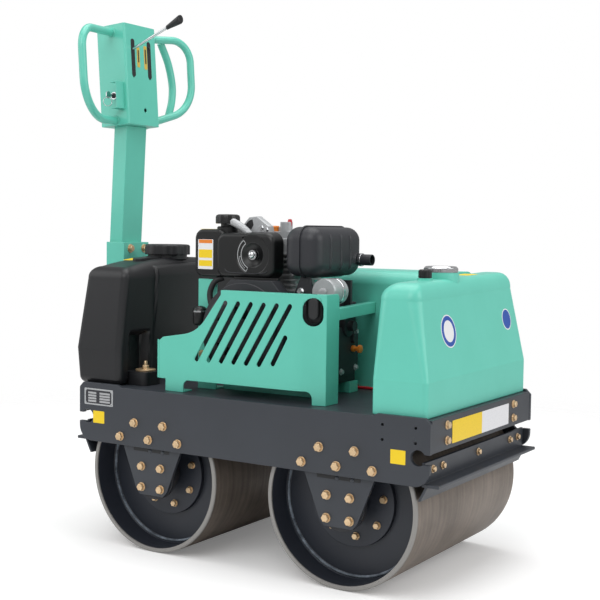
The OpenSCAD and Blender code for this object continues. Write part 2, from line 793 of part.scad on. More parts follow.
// Muffler of two pressed shells with a seam flange, ribs, an exhaust neck and a hollow outlet
module muffler() color(black) translate([0, 0, deck_z]) {
    outlet_y = muffler_y[1] - outlet_in;
    hull() for (x = [muffler_x[0] + muffler_round, muffler_x[1] - muffler_round],
                y = [muffler_y[0] + muffler_round, muffler_y[1] - muffler_round],
                z = [muffler_z[0] + muffler_round, muffler_z[1] - muffler_round])
        translate([x, y, z]) sphere(muffler_round, $fn = hull_fn);
    from_front(muffler_seam, seam_t)
        rounded_rect([muffler_y[0], muffler_z[0]] - [1, 1] * flange_out,
                     [muffler_y[1], muffler_z[1]] + [1, 1] * flange_out, muffler_round);
    for (y = rib_y) translate([muffler_x[1] + rib_out - rib_r, y, rib_z[0]])
        cylinder(r = rib_r, h = rib_z[1] - rib_z[0]);
    rod_x(cyl_x[1] + fin_out + seat, muffler_x[0] + muffler_round, exhaust_y,
          (muffler_z[0] + muffler_z[1]) / 2, exhaust_r);
    difference() {
        rod_x(muffler_x[1] - muffler_round, muffler_x[1] + outlet_l, outlet_y, outlet_z, outlet_r);
        rod_x(muffler_x[1] + cut, muffler_x[1] + outlet_l + cut, outlet_y, outlet_z, outlet_r - outlet_t);
    }
}

module starter_motor() color(chrome) {
    axis_z = deck_z + bed_h + crank_h + starter_r + seat;
    rod_y(starter_y[0], starter_y[1], starter_x, axis_z, starter_r);
    rod_y(starter_y[1] - cut, starter_y[1] + starter_neck, starter_x, axis_z, starter_neck);
}

// Handle
module cheek() difference() {
    polygon([[mount_front, mount_top], [mount_front, deck_z], [-plate_end + panel_inset, deck_z - toe_drop],
             [-plate_end + panel_inset, deck_z - panel_h], [mount_front, deck_z - panel_h],
             [pivot_x - eye_back, deck_z + eye_foot], [pivot_x - eye_back, pivot_z + eye_top],
             [mount_front - neck_l, mount_top - neck_drop], [mount_front - neck_l, mount_top]]);
    translate([pivot_x, pivot_z]) circle(pivot_r);
}

module handle_mount() color(mint) {
    web_x = mount_front - mount_web;
    pad_x = pivot_x + (deck_z + pad_z[1] - pivot_z) * tan(post_lean) + post_d / 2 / cos(post_lean) + seat;
    for (s = [-1, 1]) on_side(s) from_side(cheek_in, cheek_t) cheek();
    block([web_x, mount_front], [-cheek_in - cut, cheek_in + cut], [deck_z + web_foot, mount_top]);
    block([pad_x, web_x + cut], [-pad_w / 2, pad_w / 2], [deck_z + pad_z[0], deck_z + pad_z[1]]);
    rod_y(-cheek_out, cheek_out, pivot_x, pivot_z, pivot_r);
}

module handle_post() color(mint) from_side(-post_w / 2, post_w) difference() {
    union() {
        translate([pivot_x, pivot_z]) rotate(-post_lean)
            translate([-post_d / 2, 0]) square([post_d, post_len + post_d]);
        translate([pivot_x, pivot_z]) circle(post_d / 2 - eye_step);
    }
    translate([pivot_x, pivot_z]) circle(pivot_r + pivot_gap);
    translate([console_x, console_z]) rotate(console_lean)
        translate([-console_d, 0]) square([2 * console_d, console_h]);
}

// Moves a piece drawn on the console's own axes to the top of the post
module on_console() translate([console_x, 0, console_z]) rotate([0, -console_lean, 0]) children();

module console() color(mint) on_console() difference() {
    linear_extrude(console_h)
        rounded_rect([-console_d, -console_w] / 2, [console_d, console_w] / 2, console_round);
    translate([0, 0, console_t]) linear_extrude(console_h - 2 * console_t)
        rounded_rect([-console_d, -console_w] / 2 + [1, 1] * console_t,
                     [console_d, console_w] / 2 - [1, 1] * console_t, console_round - console_t);
    for (y = [-lever_slot_y, lever_slot_y])
        from_front(console_d / 2 - console_t - cut, console_t + 2 * cut)
            slot([y, lever_slot_z[0]], [y, lever_slot_z[1]], lever_slot_w);
    rod_x(console_d / 2 - console_t - cut, console_d / 2 + cut, plug_hole[0], plug_hole[1], plug_hole_r);
}

module grip(side) color(mint) on_console() on_side(side) difference() {
    grip_tubes();
    block([-1, 1] * console_d, [-console_w, console_w / 2], [-grip_d, console_h + grip_d]);
}

module grip_tubes() {
    translate([grip_x, console_w / 2, 0]) rotate(-grip_splay) {
        rod_y(-grip_r, grip_reach - grip_top_r, 0, grip_top, grip_r);
        rod_y(-grip_r, grip_reach - grip_foot_r, 0, grip_foot, grip_r);
        translate([0, grip_reach, grip_foot + grip_foot_r])
            cylinder(r = grip_r, h = grip_top - grip_top_r - grip_foot - grip_foot_r);
        translate([0, grip_reach - grip_top_r, grip_top - grip_top_r]) rotate([90, 0, 90])
            rotate_extrude(angle = 90) translate([grip_top_r, 0]) circle(grip_r);
        translate([0, grip_reach - grip_foot_r, grip_foot + grip_foot_r]) rotate([90, 0, 90]) rotate(-90)
            rotate_extrude(angle = 90) translate([grip_foot_r, 0]) circle(grip_r);
    }
    translate([brace_x, brace_centre[0], brace_centre[1]]) rotate([90, 0, 90]) rotate(brace_arc[0])
        rotate_extrude(angle = brace_arc[1] - brace_arc[0]) translate([brace_r, 0]) circle(grip_r);
}

module travel_lever() color(black) on_console() {
    rod_y(-console_w / 2 + console_t, console_w / 2 - console_t, 0, lever_z, shaft_r);
    translate([0, -lever_slot_y, lever_z]) rotate([0, 90 - lever_rise, 0]) {
        cylinder(r = lever_rod_r, h = lever_rod_l);
        translate([0, 0, lever_rod_l]) cylinder(r1 = lever_knob_r[0], r2 = lever_knob_r[1], h = lever_knob_l);
    }
    rod_x(0, stub_l, lever_slot_y, lever_z, lever_rod_r);
}

module switch_guard() color(mint) on_console() {
    block(key_x, [-console_w / 2 - key_d, -console_w / 2], [key_z[0], key_z[0] + key_t]);
    block(key_x, [-console_w / 2 - key_d, -console_w / 2], [key_z[1] - key_t, key_z[1]]);
    block(key_x, [-console_w / 2 - key_d, -console_w / 2 - key_d + key_t], key_z);
}

module key_switch() color(chrome) on_console()
    rod_y(-console_w / 2 - switch_l, -console_w / 2, (key_x[0] + key_x[1]) / 2, (key_z[0] + key_z[1]) / 2,
          switch_r);

place() side_plate(-1);  // right_side_plate
place() side_plate(1);  // left_side_plate
place() end_panel(1);  // front_panel
place() end_panel(-1);  // rear_panel
place() deck();
place() cross_beam();
place() hub_bracket(1, -1);  // front_right_bracket
place() hub_bracket(1, 1);  // front_left_bracket
place() hub_bracket(-1, -1);  // rear_right_bracket
place() hub_bracket(-1, 1);  // rear_left_bracket
place() axle(1, -1);  // front_right_axle
place() axle(1, 1);  // front_left_axle
place() axle(-1, -1);  // rear_right_axle
place() axle(-1, 1);  // rear_left_axle
place() drum(1);  // front_drum
place() drum(-1);  // rear_drum
place() scraper(1);  // front_scraper
place() scraper(-1);  // rear_scraper
place() spray_bar(1);  // front_spray_bar
place() spray_bar(-1);  // rear_spray_bar
place() front_tank();
place() side_cover();
place() fuel_cap();
place() oil_cap();
place() battery_lead();
place() water_tank();
place() water_cap();
place() tank_feet();
place() guard();
place() guard_upright();
place() cross_rail();
place() engine_bed();
place() crankcase();
place() cylinder_block();  // cylinder
place() rocker_cover();
place() fan_shroud();
place() recoil_starter();
place() air_cleaner();
place() muffler();
place() starter_motor();
place() handle_mount();
place() handle_post();
place() console();
place() grip(-1);  // right_grip
place() grip(1);  // left_grip
place() travel_lever();
place() switch_guard();
place() key_switch();
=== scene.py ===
import json
import logging
import math
from dataclasses import dataclass, field
from enum import Enum

import bmesh
import bpy
import numpy as np
from mathutils import Matrix, Vector


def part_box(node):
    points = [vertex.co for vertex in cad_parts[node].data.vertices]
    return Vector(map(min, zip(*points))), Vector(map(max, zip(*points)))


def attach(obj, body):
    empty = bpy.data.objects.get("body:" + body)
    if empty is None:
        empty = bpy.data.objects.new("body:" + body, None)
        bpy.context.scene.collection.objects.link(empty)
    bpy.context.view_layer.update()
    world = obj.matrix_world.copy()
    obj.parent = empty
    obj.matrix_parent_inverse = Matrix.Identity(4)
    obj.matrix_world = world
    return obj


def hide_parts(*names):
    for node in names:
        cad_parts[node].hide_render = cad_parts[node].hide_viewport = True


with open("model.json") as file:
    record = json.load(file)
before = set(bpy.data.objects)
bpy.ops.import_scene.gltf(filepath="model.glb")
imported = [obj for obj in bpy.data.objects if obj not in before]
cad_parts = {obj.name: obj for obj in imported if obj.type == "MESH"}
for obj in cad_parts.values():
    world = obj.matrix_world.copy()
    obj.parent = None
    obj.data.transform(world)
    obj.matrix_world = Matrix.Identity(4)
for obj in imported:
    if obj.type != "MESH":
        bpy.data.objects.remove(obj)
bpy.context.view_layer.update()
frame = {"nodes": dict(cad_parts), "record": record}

MM = 0.001
SMALL = 1e-6
NORMAL_WEIGHT = 80
PLATE_STEPS = 32
LOG = logging.getLogger("roller")
X_AXIS, Y_AXIS, Z_AXIS = np.eye(3)


def linear(code: str) -> tuple[float, float, float, float]:
    """Turns an sRGB hex colour into linear RGBA by the sRGB curve.

    Args:
        code: colour such as "#68cbb8".

    Returns:
        Linear red, green, blue and an alpha of 1.
    """
    srgb = np.array([int(code[i:i + 2], 16) for i in (1, 3, 5)]) / 255
    low = srgb / 12.92
    high = ((srgb + 0.055) / 1.055) ** 2.4
    return (*np.where(srgb <= 0.04045, low, high).tolist(), 1.0)


def add_node(tree: bpy.types.NodeTree, kind: str, inputs: dict | None = None, **settings) -> bpy.types.Node:
    """Adds one shader node, sets its properties and fills or links its inputs.

    Args:
        tree: node tree that receives the node.
        kind: Blender's name of the node type, without its "ShaderNode" start.
        inputs: socket name or index, to a value or to another node's output socket.
        settings: node properties by name.

    Returns:
        The new node.
    """
    node = tree.nodes.new("ShaderNode" + kind)
    for key, value in settings.items():
        setattr(node, key, value)
    for key, value in (inputs or {}).items():
        if isinstance(value, bpy.types.NodeSocket):
            tree.links.new(value, node.inputs[key])
        else:
            node.inputs[key].default_value = value
    return node


@dataclass(frozen=True)
class Finish:
    """One real material: its name, its colour and how its surface was made."""

    name: str
    colour: str
    roughness: float
    metallic: float = 0.0
    coat: float = 0.0

    def material(self) -> bpy.types.Material:
        """Makes the material on first use and returns it."""
        found = bpy.data.materials.get(self.name)
        if found is not None:
            return found
        made = bpy.data.materials.new(self.name)
        made.use_nodes = True
        tree = made.node_tree
        tree.nodes.clear()
        shader = add_node(tree, "BsdfPrincipled", {
            "Base Color": linear(self.colour), "Roughness": self.roughness, "Metallic": self.metallic,
            "Coat Weight": self.coat, "Coat Roughness": 0.12})
        add_node(tree, "OutputMaterial", {"Surface": shader.outputs["BSDF"]})
        place = add_node(tree, "TexCoord").outputs["Object"]
        self.dress(tree, shader, place)
        return made

    def dress(self, tree: bpy.types.NodeTree, shader: bpy.types.Node, place: bpy.types.NodeSocket) -> None:
        """Adds the surface's pattern; the plain finish has none."""


@dataclass(frozen=True)
class Mottled(Finish):
    """A finish whose tone, roughness and height vary by noise of real sizes."""

    second: str = "#808080"
    patch_mm: float = 120.0
    share: float = 0.5
    grain_mm: float = 1.5
    relief_mm: float = 0.05
    rough_spread: float = 0.08

    def dress(self, tree: bpy.types.NodeTree, shader: bpy.types.Node, place: bpy.types.NodeSocket) -> None:
        """Mixes two tones by broad noise, spreads the roughness and raises the fine grain.

        Args:
            tree: the material's node tree.
            shader: its principled shader.
            place: object coordinates in metres.
        """
        broad = add_node(tree, "TexNoise", {
            "Vector": place, "Scale": 1 / (self.patch_mm * MM), "Detail": 4.0, "Roughness": 0.6})
        tone = add_node(tree, "MapRange", {
            "Value": broad.outputs["Fac"], "From Min": 0.35, "From Max": 0.7, "To Max": self.share})
        mix = add_node(tree, "Mix", {
            "Factor": tone.outputs["Result"], 6: linear(self.colour), 7: linear(self.second)},
            data_type="RGBA")
        tree.links.new(mix.outputs[2], shader.inputs["Base Color"])
        rough = add_node(tree, "MapRange", {
            "Value": broad.outputs["Fac"], "To Min": self.roughness - self.rough_spread,
            "To Max": self.roughness + self.rough_spread})
        tree.links.new(rough.outputs["Result"], shader.inputs["Roughness"])
        fine = add_node(tree, "TexNoise", {
            "Vector": place, "Scale": 1 / (self.grain_mm * MM), "Detail": 2.0})
        bump = add_node(tree, "Bump", {
            "Height": fine.outputs["Fac"], "Distance": self.relief_mm * MM, "Strength": 1.0})
        tree.links.new(bump.outputs["Normal"], shader.inputs["Normal"])


@dataclass(frozen=True)
class RolledSteel(Finish):
    """Bare drum shell with marks round it, a ground rim and a painted inside."""

    second: str = "#5d534b"
    rim: str = "#8b8986"
    inside: str = "#262a33"
    axle_x: float = 0.0
    axle_z: float = 0.213
    drum_r: float = 0.213
    half_width: float = 0.300
    rim_mm: float = 4.5
    skin_mm: float = 1.5
    streak_mm: tuple[float, float] = (14.0, 420.0)
    blotch_mm: float = 160.0
    scratch_mm: float = 2.0
    relief_mm: float = 0.12
    rough_spread: float = 0.12

    def dress(self, tree: bpy.types.NodeTree, shader: bpy.types.Node, place: bpy.types.NodeSocket) -> None:
        """Finds the radius and the angle about the axle, and lays streaks along the angle.

        The shell is where the radius exceeds the drum's less a skin, and the rim is where the distance
        from the middle exceeds the half width less the rim's width.

        Args:
            tree: the material's node tree.
            shader: its principled shader.
            place: object coordinates in metres.
        """
        from_axle = add_node(tree, "VectorMath", {
            0: place, 1: (self.axle_x, 0, self.axle_z)}, operation="SUBTRACT")
        part = add_node(tree, "SeparateXYZ", {0: from_axle.outputs[0]})
        flat = add_node(tree, "VectorMath", {0: from_axle.outputs[0], 1: (1, 0, 1)}, operation="MULTIPLY")
        radius = add_node(tree, "VectorMath", {0: flat.outputs[0]}, operation="LENGTH")
        shell = add_node(tree, "Math", {
            0: radius.outputs["Value"], 1: self.drum_r - self.skin_mm * MM}, operation="GREATER_THAN")
        across = add_node(tree, "Math", {0: part.outputs["Y"]}, operation="ABSOLUTE")
        past = add_node(tree, "Math", {
            0: across.outputs[0], 1: self.half_width - self.rim_mm * MM}, operation="GREATER_THAN")
        angle = add_node(tree, "Math", {0: part.outputs["Z"], 1: part.outputs["X"]}, operation="ARCTAN2")
        width, length = self.streak_mm
        u = add_node(tree, "Math", {0: part.outputs["Y"], 1: 1 / (width * MM)}, operation="MULTIPLY")
        v = add_node(tree, "Math", {
            0: angle.outputs[0], 1: self.drum_r / (length * MM)}, operation="MULTIPLY")
        unrolled = add_node(tree, "CombineXYZ", {0: u.outputs[0], 1: v.outputs[0]})
        streaks = add_node(tree, "TexNoise", {"Vector": unrolled.outputs[0], "Scale": 1.0, "Detail": 5.0})
        blotches = add_node(tree, "TexNoise", {
            "Vector": place, "Scale": 1 / (self.blotch_mm * MM), "Detail": 5.0, "Roughness": 0.65})
        both = add_node(tree, "Math", {
            0: streaks.outputs["Fac"], 1: blotches.outputs["Fac"]}, operation="ADD")
        tone = add_node(tree, "MapRange", {"Value": both.outputs[0], "From Min": 0.75, "From Max": 1.25})
        steel = add_node(tree, "Mix", {
            "Factor": tone.outputs["Result"], 6: linear(self.second), 7: linear(self.colour)},
            data_type="RGBA")
        skin = add_node(tree, "Mix", {
            "Factor": shell.outputs[0], 6: linear(self.inside), 7: steel.outputs[2]}, data_type="RGBA")
        edge = add_node(tree, "Mix", {
            "Factor": past.outputs[0], 6: skin.outputs[2], 7: linear(self.rim)}, data_type="RGBA")
        tree.links.new(edge.outputs[2], shader.inputs["Base Color"])
        metal = add_node(tree, "Math", {0: shell.outputs[0], 1: self.metallic}, operation="MULTIPLY")
        tree.links.new(metal.outputs[0], shader.inputs["Metallic"])
        rough = add_node(tree, "MapRange", {
            "Value": streaks.outputs["Fac"], "To Min": self.roughness - self.rough_spread,
            "To Max": self.roughness + self.rough_spread})
        tree.links.new(rough.outputs["Result"], shader.inputs["Roughness"])
        fine = add_node(tree, "TexNoise", {
            "Vector": place, "Scale": 1 / (self.scratch_mm * MM), "Detail": 3.0})
        height = add_node(tree, "Math", {0: streaks.outputs["Fac"], 1: fine.outputs["Fac"]}, operation="ADD")
        bump = add_node(tree, "Bump", {
            "Height": height.outputs[0], "Distance": self.relief_mm * MM, "Strength": 0.6})
        tree.links.new(bump.outputs["Normal"], shader.inputs["Normal"])


@dataclass(frozen=True)
class PrismFilm(Finish):
    """Retroreflective film: small cells pressed behind a clear face."""

    cell_mm: float = 3.0

    def dress(self, tree: bpy.types.NodeTree, shader: bpy.types.Node, place: bpy.types.NodeSocket) -> None:
        """Darkens the colour a little towards the cells' borders.

        Args:
            tree: the material's node tree.
            shader: its principled shader.
            place: object coordinates in metres.
        """
        cells = add_node(tree, "TexVoronoi", {"Vector": place, "Scale": 1 / (self.cell_mm * MM)})
        tone = add_node(tree, "MapRange", {
            "Value": cells.outputs["Distance"], "To Min": 1.0, "To Max": 0.86})
        shade = add_node(tree, "VectorMath", {
            0: linear(self.colour)[:3], 1: tone.outputs["Result"]}, operation="MULTIPLY")
        tree.links.new(shade.outputs[0], shader.inputs["Base Color"])


def film(name: str, colour: str, second: str, roughness: float = 0.45) -> Mottled:
    """Makes a printed label film: two close tones with a faint grain."""
    return Mottled(name, colour, roughness, second=second, grain_mm=1.2, relief_mm=0.01)


# Glossy enamel: even colour, slight orange peel and a clear highlight along the folds
GREEN = Mottled("gloss_green_enamel", "#62c6b2", 0.32, coat=0.25, second="#5cbfab", share=0.6, grain_mm=3.0,
                relief_mm=0.02)
# Rotomoulded tank: the same colour, softer shine and a faint wave of the skin
GREEN_TANK = Mottled("green_tank_polyethylene", "#66c9b6", 0.38, coat=0.1, second="#60c2ae", share=0.6,
                     patch_mm=200, grain_mm=5.0, relief_mm=0.05)
# Satin frame paint: cool dark grey with fine texture
CHARCOAL = Mottled("charcoal_frame_enamel", "#34383f", 0.42, second="#2f3339", grain_mm=2.0, relief_mm=0.03)
# Moulded black plastic: soft sheen and fine spark-eroded grain
PLASTIC = Mottled("moulded_black_polyethylene", "#18191c", 0.42, second="#141518", grain_mm=1.0,
                  relief_mm=0.06)
# Filter housing: deeper black and smoother than the tank
NYLON = Mottled("black_filled_nylon", "#0f1011", 0.36, second="#0c0d0e", grain_mm=0.9, relief_mm=0.03)
# Painted iron castings: dull, with coarse sand texture
IRON = Mottled("dark_cast_iron", "#2b2c30", 0.6, second="#222226", grain_mm=1.6, relief_mm=0.15)
# Sand-cast alloy: bright grey with a grainy skin and stains
ALUMINIUM = Mottled("sand_cast_alloy", "#b6b8ba", 0.42, 0.3, second="#9da0a2", patch_mm=30, grain_mm=0.9)
# Stove enamel of muffler and cowling: dark with a wide soft highlight
SHEET = Mottled("black_stove_enamel", "#2b2c31", 0.45, second="#25262a", grain_mm=1.4, relief_mm=0.03)
# Chrome: mirror with faint rubbing marks
CHROME = Mottled("chrome_plate", "#d9dadc", 0.14, 1.0, second="#c8cacc", grain_mm=3.0, relief_mm=0.005)
# Zinc-yellow plated steel: warm pale brass tint, patchy
ZINC = Mottled("yellow_zinc_plate", "#e0c39c", 0.3, 0.65, second="#bf9d74", patch_mm=8, grain_mm=0.8,
               relief_mm=0.02)
# Label films and prints: even colour with a little sheen
YELLOW = film("yellow_label_film", "#f2cf17", "#ebc70e")
WHITE = film("white_label_film", "#e9e9ea", "#e1e1e3")
BLUE = film("blue_label_film", "#1f4fa8", "#1b489c", 0.4)
GREY_PRINT = film("grey_print", "#a9aaac", "#9d9ea0", 0.5)
GOLD = film("gilt_label_film", "#d2b04c", "#c4a240", 0.4)
BROWN = film("brown_label_print", "#4a4326", "#413b22")
# Small plastics, cable and hose skins: even colour, from half gloss to dull
ORANGE = Mottled("orange_cap_plastic", "#e8842c", 0.4, second="#dd7a24", grain_mm=1.0, relief_mm=0.03)
RED = Mottled("red_cable_skin", "#c3202a", 0.42, second="#b31b25", grain_mm=1.0, relief_mm=0.03)
RUBBER = Mottled("black_hose_rubber", "#1c1d1f", 0.58, second="#18191b", grain_mm=0.8, relief_mm=0.05)
# Weld bead: dark grey-blue paint with light grey-blue patches by broad noise, the patches a painted
# highlight along the bead
WELD_BEAD_SHEEN = Mottled("weld_bead_painted_highlight", "#3a424c", 0.5, second="#8d98a4", patch_mm=26, share=0.9,
                  grain_mm=1.2, relief_mm=0.1)
# Prismatic reflector film, yellow and white halves
FILM_YELLOW = PrismFilm("yellow_reflector_film", "#f6d000", 0.3)
FILM_WHITE = PrismFilm("white_reflector_film", "#e8e8eb", 0.3)


@dataclass(frozen=True)
class Spot:
    """A place on the machine with its own axes: right, up and outward."""

    at: np.ndarray
    out: np.ndarray
    up: np.ndarray

    def points(self, local: np.ndarray) -> np.ndarray:
        """Maps millimetres along right, up and outward to row-frame metres: p = at + M local."""
        axes = np.stack([np.cross(self.up, self.out), self.up, self.out])
        return self.at + local * MM @ axes


@dataclass(frozen=True)
class Layout:
    """Places that the frame gives, in metres."""

    mid_x: float
    wheel_x: float
    axle_z: float
    drum_r: float
    plate_y: float

    @classmethod
    def from_frame(cls) -> "Layout":
        """Reads the middle between the drums and the side plate from their boxes."""
        (front_low, front_high), (rear_low, rear_high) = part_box("front_drum"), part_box("rear_drum")
        front, rear = (front_low.x + front_high.x) / 2, (rear_low.x + rear_high.x) / 2
        return cls(mid_x=(front + rear) / 2, wheel_x=(front - rear) / 2,
                   axle_z=(front_low.z + front_high.z) / 2, drum_r=(front_high.z - front_low.z) / 2,
                   plate_y=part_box("left_side_plate")[1].y)

    def landing(self, target: bpy.types.Object, start: tuple[float, float, float], aim: np.ndarray,
                up: np.ndarray = Z_AXIS) -> Spot:
        """Finds the spot where a straight line meets an object, facing along the surface's normal.

        Args:
            target: a CAD node or a built piece.
            start: where the line starts, in millimetres, x counted from midway between the drums.
            aim: direction of the line.
            up: direction that the spot's upright follows as nearly as the surface lets it.

        Returns:
            The spot on the object.
        """
        bpy.context.view_layer.update()
        origin = self.spot(*start, X_AXIS).at
        found, place, normal, _ = target.ray_cast(Vector(origin), Vector(aim))
        if not found:
            raise ValueError(f"no surface of {target.name} from {start}")
        out = np.array(normal)
        upright = up - out * (up @ out)
        return Spot(np.array(place), out, upright / np.linalg.norm(upright))

    def spot(self, x: float, y: float, z: float, out: np.ndarray, up: np.ndarray = Z_AXIS) -> Spot:
        """Makes a spot from millimetres, x counted from midway between the drums."""
        place = np.array([self.mid_x + x * MM, y * MM, z * MM])
        return Spot(place, np.asarray(out, float), np.asarray(up, float))


class Named(Enum):
    """A choice whose name in lower case begins the names of its pieces."""

    @property
    def label(self) -> str:
        """Gives the name in lower case."""
        return self.name.lower()


class Side(Named):
    """The machine's two sides, as the sign of y."""

    RIGHT = -1
    LEFT = 1


class End(Named):
    """The machine's two ends, as the sign of x."""

    REAR = -1
    FRONT = 1


def ramp(value: np.ndarray, start: float, width: float) -> np.ndarray:
    """Rises from 0 at the start to 1 a width further on; a negative width runs it the other way."""
    return np.clip((value - start) / width, 0, 1)


def full_turn(steps: int) -> np.ndarray:
    """Gives the angles of even steps round a full turn, the end left out."""
    return np.linspace(0, 2 * np.pi, steps, endpoint=False)


def revolve(profile: list[tuple[float, float]], turns: int = 40,
            ripple: np.ndarray | None = None) -> np.ndarray:
    """Turns a profile about the outward axis: P(a, j) = (r_j k(a) cos a, r_j k(a) sin a, h_j).

    Args:
        profile: radius and height of each point, in millimetres.
        turns: number of steps around.
        ripple: factor k on the radius at each step, 1 where not given.

    Returns:
        Grid of shape (turns, points, 3).
    """
    angle = full_turn(turns)
    radius, height = np.array(profile, float).T
    scale = np.ones(turns) if ripple is None else ripple
    r = scale[:, None] * radius
    return np.stack([r * np.cos(angle)[:, None], r * np.sin(angle)[:, None],
                     np.broadcast_to(height, r.shape)], axis=-1)


def hexagon(turns: int) -> np.ndarray:
    """Radius of a hexagon of corner radius 1 at each step: cos 30 / cos((a mod 60) - 30)."""
    angle = full_turn(turns)
    return math.cos(math.pi / 6) / np.cos(angle % (math.pi / 3) - math.pi / 6)


def rounded_plate(width: float, height: float, corner: float, thick: float, edge: float = 0.3) -> np.ndarray:
    """A plate with round corners: rings of one outline, drawn in to its middle on the face.

    The outline is c + r (cos a, sin a), with the corner's centre c stepping round the four corners.

    Args:
        width: size to the right, in millimetres.
        height: size upwards.
        corner: corner radius.
        thick: thickness outwards.
        edge: width of the rounded edge.

    Returns:
        Grid of shape (outline, rings, 3).
    """
    angle = full_turn(PLATE_STEPS)
    centre = np.stack([np.sign(np.cos(angle + SMALL)) * (width / 2 - corner),
                       np.sign(np.sin(angle + SMALL)) * (height / 2 - corner)], axis=-1)
    ray = np.stack([np.cos(angle), np.sin(angle)], axis=-1)
    rings = [(0.0, 0.0, thick), (1.0, corner - edge, thick), (1.0, corner, thick - edge),
             (1.0, corner, -0.2)]
    return np.stack([np.concatenate([k * centre + r * ray * k, np.full((PLATE_STEPS, 1), h)], axis=-1)
                     for k, r, h in rings], axis=1)


def ring_sector(inner: float, outer: float, start: float, end: float, thick: float) -> np.ndarray:
    """A flat arc of a ring: P(a, r) for a from start to end degrees, raised by thick with its edges down."""
    shape = (40, 4)
    angle = np.radians(np.linspace(start, end, shape[0]))[:, None]
    radius = np.array([inner, inner, outer, outer])
    height = np.array([-0.2, thick, thick, -0.2])
    return np.stack([np.broadcast_to(radius * np.cos(angle), shape),
                     np.broadcast_to(radius * np.sin(angle), shape),
                     np.broadcast_to(height, shape)], axis=-1)


def prism(outline: list | tuple, thick: float, edge: float = 0.8) -> np.ndarray:
    """A plate of a convex outline: its points drawn to their mean on both faces, with eased edges."""
    flat = np.array(outline, float)
    middle = flat.mean(axis=0)
    rings = [(0.0, thick), (1.0 - edge / 40, thick), (1.0, thick - edge), (1.0, 0.0), (0.0, 0.0)]
    return np.stack([np.concatenate([middle + k * (flat - middle), np.full((len(flat), 1), h)], axis=-1)
                     for k, h in rings], axis=1)


def stack(rows: list | np.ndarray, runs: int = 4, arc: int = 9) -> np.ndarray:
    """Stacks rounded rectangles: outline j is c_k + r_j (cos a, sin a) round its corners, at height h_j.

    Args:
        rows: low u, high u, low v, high v, corner radius and height of each outline, in millimetres.
        runs: points on each straight run between two corners.
        arc: points on each corner.

    Returns:
        Grid of shape (outline, rows, 3).
    """
    low_u, high_u, low_v, high_v, r, height = np.array(rows, float).T
    quarter = np.linspace(0, np.pi / 2, arc)[:, None]
    centres = ((high_u - r, high_v - r), (low_u + r, high_v - r), (low_u + r, low_v + r),
               (high_u - r, low_v + r))
    corners = [np.stack([u + r * np.cos(quarter + k * np.pi / 2), v + r * np.sin(quarter + k * np.pi / 2),
                         np.broadcast_to(height, (arc, len(height)))], axis=-1)
               for k, (u, v) in enumerate(centres)]
    share = np.linspace(0, 1, runs + 2)[1:-1, None, None]
    parts = [part for here, after in zip(corners, corners[1:] + corners[:1])
             for part in (here, here[-1:] + share * (after[:1] - here[-1:]))]
    return np.concatenate(parts)


def eased_rows(box: tuple[float, float, float, float], corner: float, ends: tuple[float, float], edge: float,
               steps: int = 7) -> np.ndarray:
    """Rows of a closed block with rounded ends: inset e (1 - sin t), e (1 - cos t) in from each end.

    Args:
        box: low u, high u, low v and high v, in millimetres.
        corner: corner radius.
        ends: lowest and highest height.
        edge: radius of the rounded ends.
        steps: rows on each rounding.

    Returns:
        Rows for stack, the first and the last drawn in to a point.
    """
    t = np.linspace(0, np.pi / 2, steps)
    inset, rise = edge * (1 - np.sin(t)), edge * (1 - np.cos(t))
    low_u, high_u, low_v, high_v = box
    sides = np.stack([low_u + inset, high_u - inset, low_v + inset, high_v - inset,
                      np.maximum(corner - inset, 0)])
    low = np.vstack([sides, ends[0] + rise]).T
    high = np.vstack([sides, ends[1] - rise]).T[::-1]
    u, v = (low_u + high_u) / 2, (low_v + high_v) / 2
    return np.vstack([[u, u, v, v, 0, ends[0]], low, high, [u, u, v, v, 0, ends[1]]])


def smooth_path(points: list[tuple[float, float, float]], steps: int = 10) -> np.ndarray:
    """Runs a Catmull-Rom curve through given points.

    Args:
        points: places to pass, in millimetres.
        steps: samples per stretch.

    Returns:
        Samples of shape (n, 3).
    """
    place = np.array(points, float)
    padded = np.concatenate([2 * place[:1] - place[1:2], place, 2 * place[-1:] - place[-2:-1]])
    t = np.linspace(0, 1, steps, endpoint=False)[:, None, None]
    a, b, c, d = padded[:-3], padded[1:-2], padded[2:-1], padded[3:]
    curve = 0.5 * (2 * b + (c - a) * t + (2 * a - 5 * b + 4 * c - d) * t ** 2
                   + (3 * b - a - 3 * c + d) * t ** 3)
    return np.concatenate([curve.transpose(1, 0, 2).reshape(-1, 3), place[-1:]])


def tube(path: np.ndarray, radius: float, across: np.ndarray, sides: int = 14,
         taper: float = 1.0) -> np.ndarray:
    """A round bar along a path: P(a, t) = path(t) + r(t) (cos a n + sin a b), closed at both ends.

    Args:
        path: samples of the middle line.
        radius: radius at the start, in the path's units.
        across: direction that the path never runs along, from which n and b are worked out.
        sides: steps around.
        taper: radius at the end, as a share of the radius at the start.

    Returns:
        Grid of shape (sides, samples + 2, 3).
    """
    along = np.gradient(path, axis=0)
    along /= np.linalg.norm(along, axis=1, keepdims=True)
    n = np.cross(along, across)
    n /= np.linalg.norm(n, axis=1, keepdims=True)
    b = np.cross(along, n)
    r = np.linspace(radius, radius * taper, len(path))[:, None]
    angle = full_turn(sides)[:, None, None]
    skin = path + r * (np.cos(angle) * n + np.sin(angle) * b)
    first = np.broadcast_to(path[:1], (sides, 1, 3))
    last = np.broadcast_to(path[-1:], (sides, 1, 3))
    return np.concatenate([first, skin, last], axis=1)


def weigh_normals(target: bpy.types.Object) -> None:
    """Shades an object by face size, so that large faces stay flat beside rounded edges."""
    shade = target.modifiers.new("shade", "WEIGHTED_NORMAL")
    shade.weight = NORMAL_WEIGHT
    shade.keep_sharp = True


